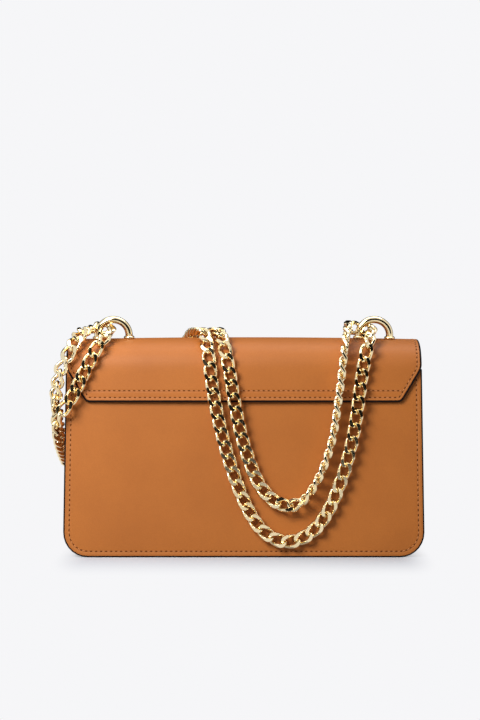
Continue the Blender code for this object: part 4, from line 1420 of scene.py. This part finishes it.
class MakeArches(BagStep):
    """The two polished arches and their collars"""

    bl_idname = "bag.make_arches"
    bl_label = "Arches"

    def make(self, sizes, colours):
        reach = ARCH_SPACING / 2
        foot = -FLAP_LEATHER - 0.0024
        for name, side in (("left", -1), ("right", 1)):
            stand = arch_place(side)
            run = [(-reach, foot, 0, 0.0019), (-reach, SEAT_GAP, 0, 0.0019), (-reach, SEAT_GAP * 1.01, 0, ARCH_ROD / 2)]
            for n in range(ARCH_TURNS + 1):
                turn = pi * n / ARCH_TURNS
                run.append((-reach * cos(turn), ARCH_LEG + reach * sin(turn), turn, ARCH_ROD / 2))
            run += [(-x, z, pi, radius) for x, z, _, radius in reversed(run[:3])]
            places = [
                stand @ Matrix.Translation((x, 0, z)) @ Matrix.Rotation(turn, 4, "Y") @ Matrix.Scale(radius, 4)
                for x, z, turn, radius in run
            ]
            finish_piece(f"polished_arch_{name}", rod(places, 20), [gold()], [f"arch_{name}"], "bag")
            bore, rim, low, high = ARCH_ROD / 2 + SEAT_GAP, COLLAR_DIAMETER / 2, SEAT_GAP, COLLAR_HEIGHT
            profile = [
                (bore, low), (rim - 0.0002, low), (rim, low + 0.0003), (rim, high - 0.0008),
                (rim - 0.0003, high - 0.0003), (rim - 0.0008, high), (bore + 0.0002, high), (bore, high - 0.0002),
            ]
            for foot_name, foot_side in (("left", -1), ("right", 1)):
                collar = turned(profile, 28, closed=True)
                bmesh.ops.transform(
                    collar, matrix=stand @ Matrix.Translation((foot_side * reach, 0, 0)), verts=collar.verts
                )
                node = f"collar_{name}_{foot_name}"
                finish_piece(f"polished_{node}", collar, [gold()], [node], "bag")
                frame["nodes"][f"washer_{name}_{foot_name}"].data.materials[0] = steel()


class MakeSnap(BagStep):
    """The magnetic snap: socket and magnet in the front panel, stud in the flap"""

    bl_idname = "bag.make_snap"
    bl_label = "Snap"

    def make(self, sizes, colours):
        facing = Matrix.Translation((0, wall_depth(SNAP_HEIGHT), SNAP_HEIGHT))
        facing = facing @ Matrix.Rotation(-pi / 2 + WALL_LEAN, 4, "X")
        rim, top, wall = 0.0085, SEAT_GAP + 0.0015, 0.0005
        low = SEAT_GAP
        socket = [
            (0, -0.0040), (0.0021, -0.0040), (0.0022, -0.0037), (0.0015, -0.0036), (0.0015, low), (rim - 0.0003, low),
            (rim, low + 0.0003), (rim, top - 0.0002), (rim - 0.0002, top), (rim - wall, top),
            (rim - wall, low + wall), (0, low + wall),
        ]
        magnet_low = low + wall + SEAT_GAP
        outer = rim - wall - SEAT_GAP
        magnet = [(0.0032, magnet_low), (outer, magnet_low), (outer, top - 0.0002), (outer - 0.0002, top), (0.0034, top), (0.0032, top - 0.0002)]
        stud_low = top + SEAT_GAP
        stud_top = stud_low + 0.0013
        stud = [
            (0, stud_low - 0.0010), (0.0021, stud_low - 0.0010), (0.0024, stud_low - 0.0007), (0.0024, stud_low),
            (0.0072, stud_low), (0.0075, stud_low + 0.0003), (0.0075, stud_top), (0, stud_top),
        ]
        for name, profile, closed, body, finish, slot in (
            ("socket", socket, False, "bag", gold, "polished_gold"),
            ("magnet", magnet, True, "bag", steel, "plain_steel"),
            ("stud", stud, False, "flap", gold, "polished_gold"),
        ):
            mesh = turned(profile, 36, closed)
            bmesh.ops.transform(mesh, matrix=facing, verts=mesh.verts)
            finish_piece(f"polished_snap_{name}", mesh, [finish()], [f"snap_{name}"], body, sharp=40)
        frame["nodes"]["snap_back_plate"].data.materials[0] = steel()


class MakeBoards(BagStep):
    """The boards that stay as they are in the solids"""

    bl_idname = "bag.make_boards"
    bl_label = "Boards"

    def make(self, sizes, colours):
        for name in ("base_board", "top_stiffener"):
            frame["nodes"][name].data.materials[0] = board()


class MakeStitching(BagStep):
    """All the rows of stitches, with dark beads as painted shade in their needle holes"""

    bl_idname = "bag.make_stitching"
    bl_label = "Stitching"

    def make(self, sizes, colours):
        if not ROWS:
            raise RuntimeError("the leather has to be cut before it is sewn")
        thread_shape = self.bead((sizes.stitch_length / 2, sizes.thread_width / 2, sizes.thread_width * 0.42))
        # Flat dark beads that stand for the shade inside the needle holes
        hole_shade_shape = self.bead((0.00095, 0.00074, 0.00016))
        for body in ("bag", "flap"):
            for kind, shape, which, finish, rise in (
                ("stitches", thread_shape, 1, thread, -sizes.seam_groove * 0.6),
                ("needle_hole_shades", hole_shade_shape, 2, needle_hole_shade, -sizes.seam_groove + 0.00004),
            ):
                lifted = Matrix.Translation((0, 0, rise))
                places = [row[which] @ lifted for row in ROWS if row[0] == body]
                made = finish_piece(
                    f"{body}_{kind}", repeated(shape, places), [finish()],
                    body="bag" if body == "bag" else None,
                )
                if body == "flap":
                    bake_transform(made, "bag", "flap", start=HINGE_START, end=HINGE_END)
        for shape in (thread_shape, hole_shade_shape):
            bpy.data.meshes.remove(shape)

    def bead(self, size):
        """A small rounded bead of few faces, about the origin."""
        mesh = bmesh.new()
        bmesh.ops.create_uvsphere(mesh, u_segments=6, v_segments=4, radius=1)
        bmesh.ops.rotate(mesh, cent=(0, 0, 0), matrix=Matrix.Rotation(pi / 2, 3, "Y"), verts=mesh.verts)
        bmesh.ops.scale(mesh, vec=size, verts=mesh.verts)
        made = bpy.data.meshes.new("bead")
        mesh.to_mesh(made)
        mesh.free()
        return made


STEPS = (
    MakeStage, MakeChain, MakePanels, MakeGusset, MakeLining, MakeFlap, MakeArches, MakeSnap, MakeBoards,
    MakeStitching,
)


class BagPanel(bpy.types.Panel):
    """Lists the bag's settings and the steps of its making"""

    bl_idname = "VIEW3D_PT_bag"
    bl_label = "Leather Crossbody Bag"
    bl_space_type = "VIEW_3D"
    bl_region_type = "UI"
    bl_category = "Bag"

    def draw(self, context):
        for group in (context.scene.bag_sizes, context.scene.bag_colours):
            for name in group.__annotations__:
                self.layout.prop(group, name)
        for step in STEPS:
            self.layout.operator(step.bl_idname)


CLASSES = (BagSizes, BagColours, *STEPS, BagPanel)


def register():
    for made in CLASSES:
        bpy.utils.register_class(made)
    bpy.types.Scene.bag_sizes = PointerProperty(type=BagSizes)
    bpy.types.Scene.bag_colours = PointerProperty(type=BagColours)


def unregister():
    del bpy.types.Scene.bag_colours
    del bpy.types.Scene.bag_sizes
    for made in reversed(CLASSES):
        bpy.utils.unregister_class(made)


def main():
    register()
    for step in STEPS:
        getattr(bpy.ops.bag, step.bl_idname.split(".")[1])()
    bpy.context.view_layer.update()


if __name__ == "__main__":
    main()
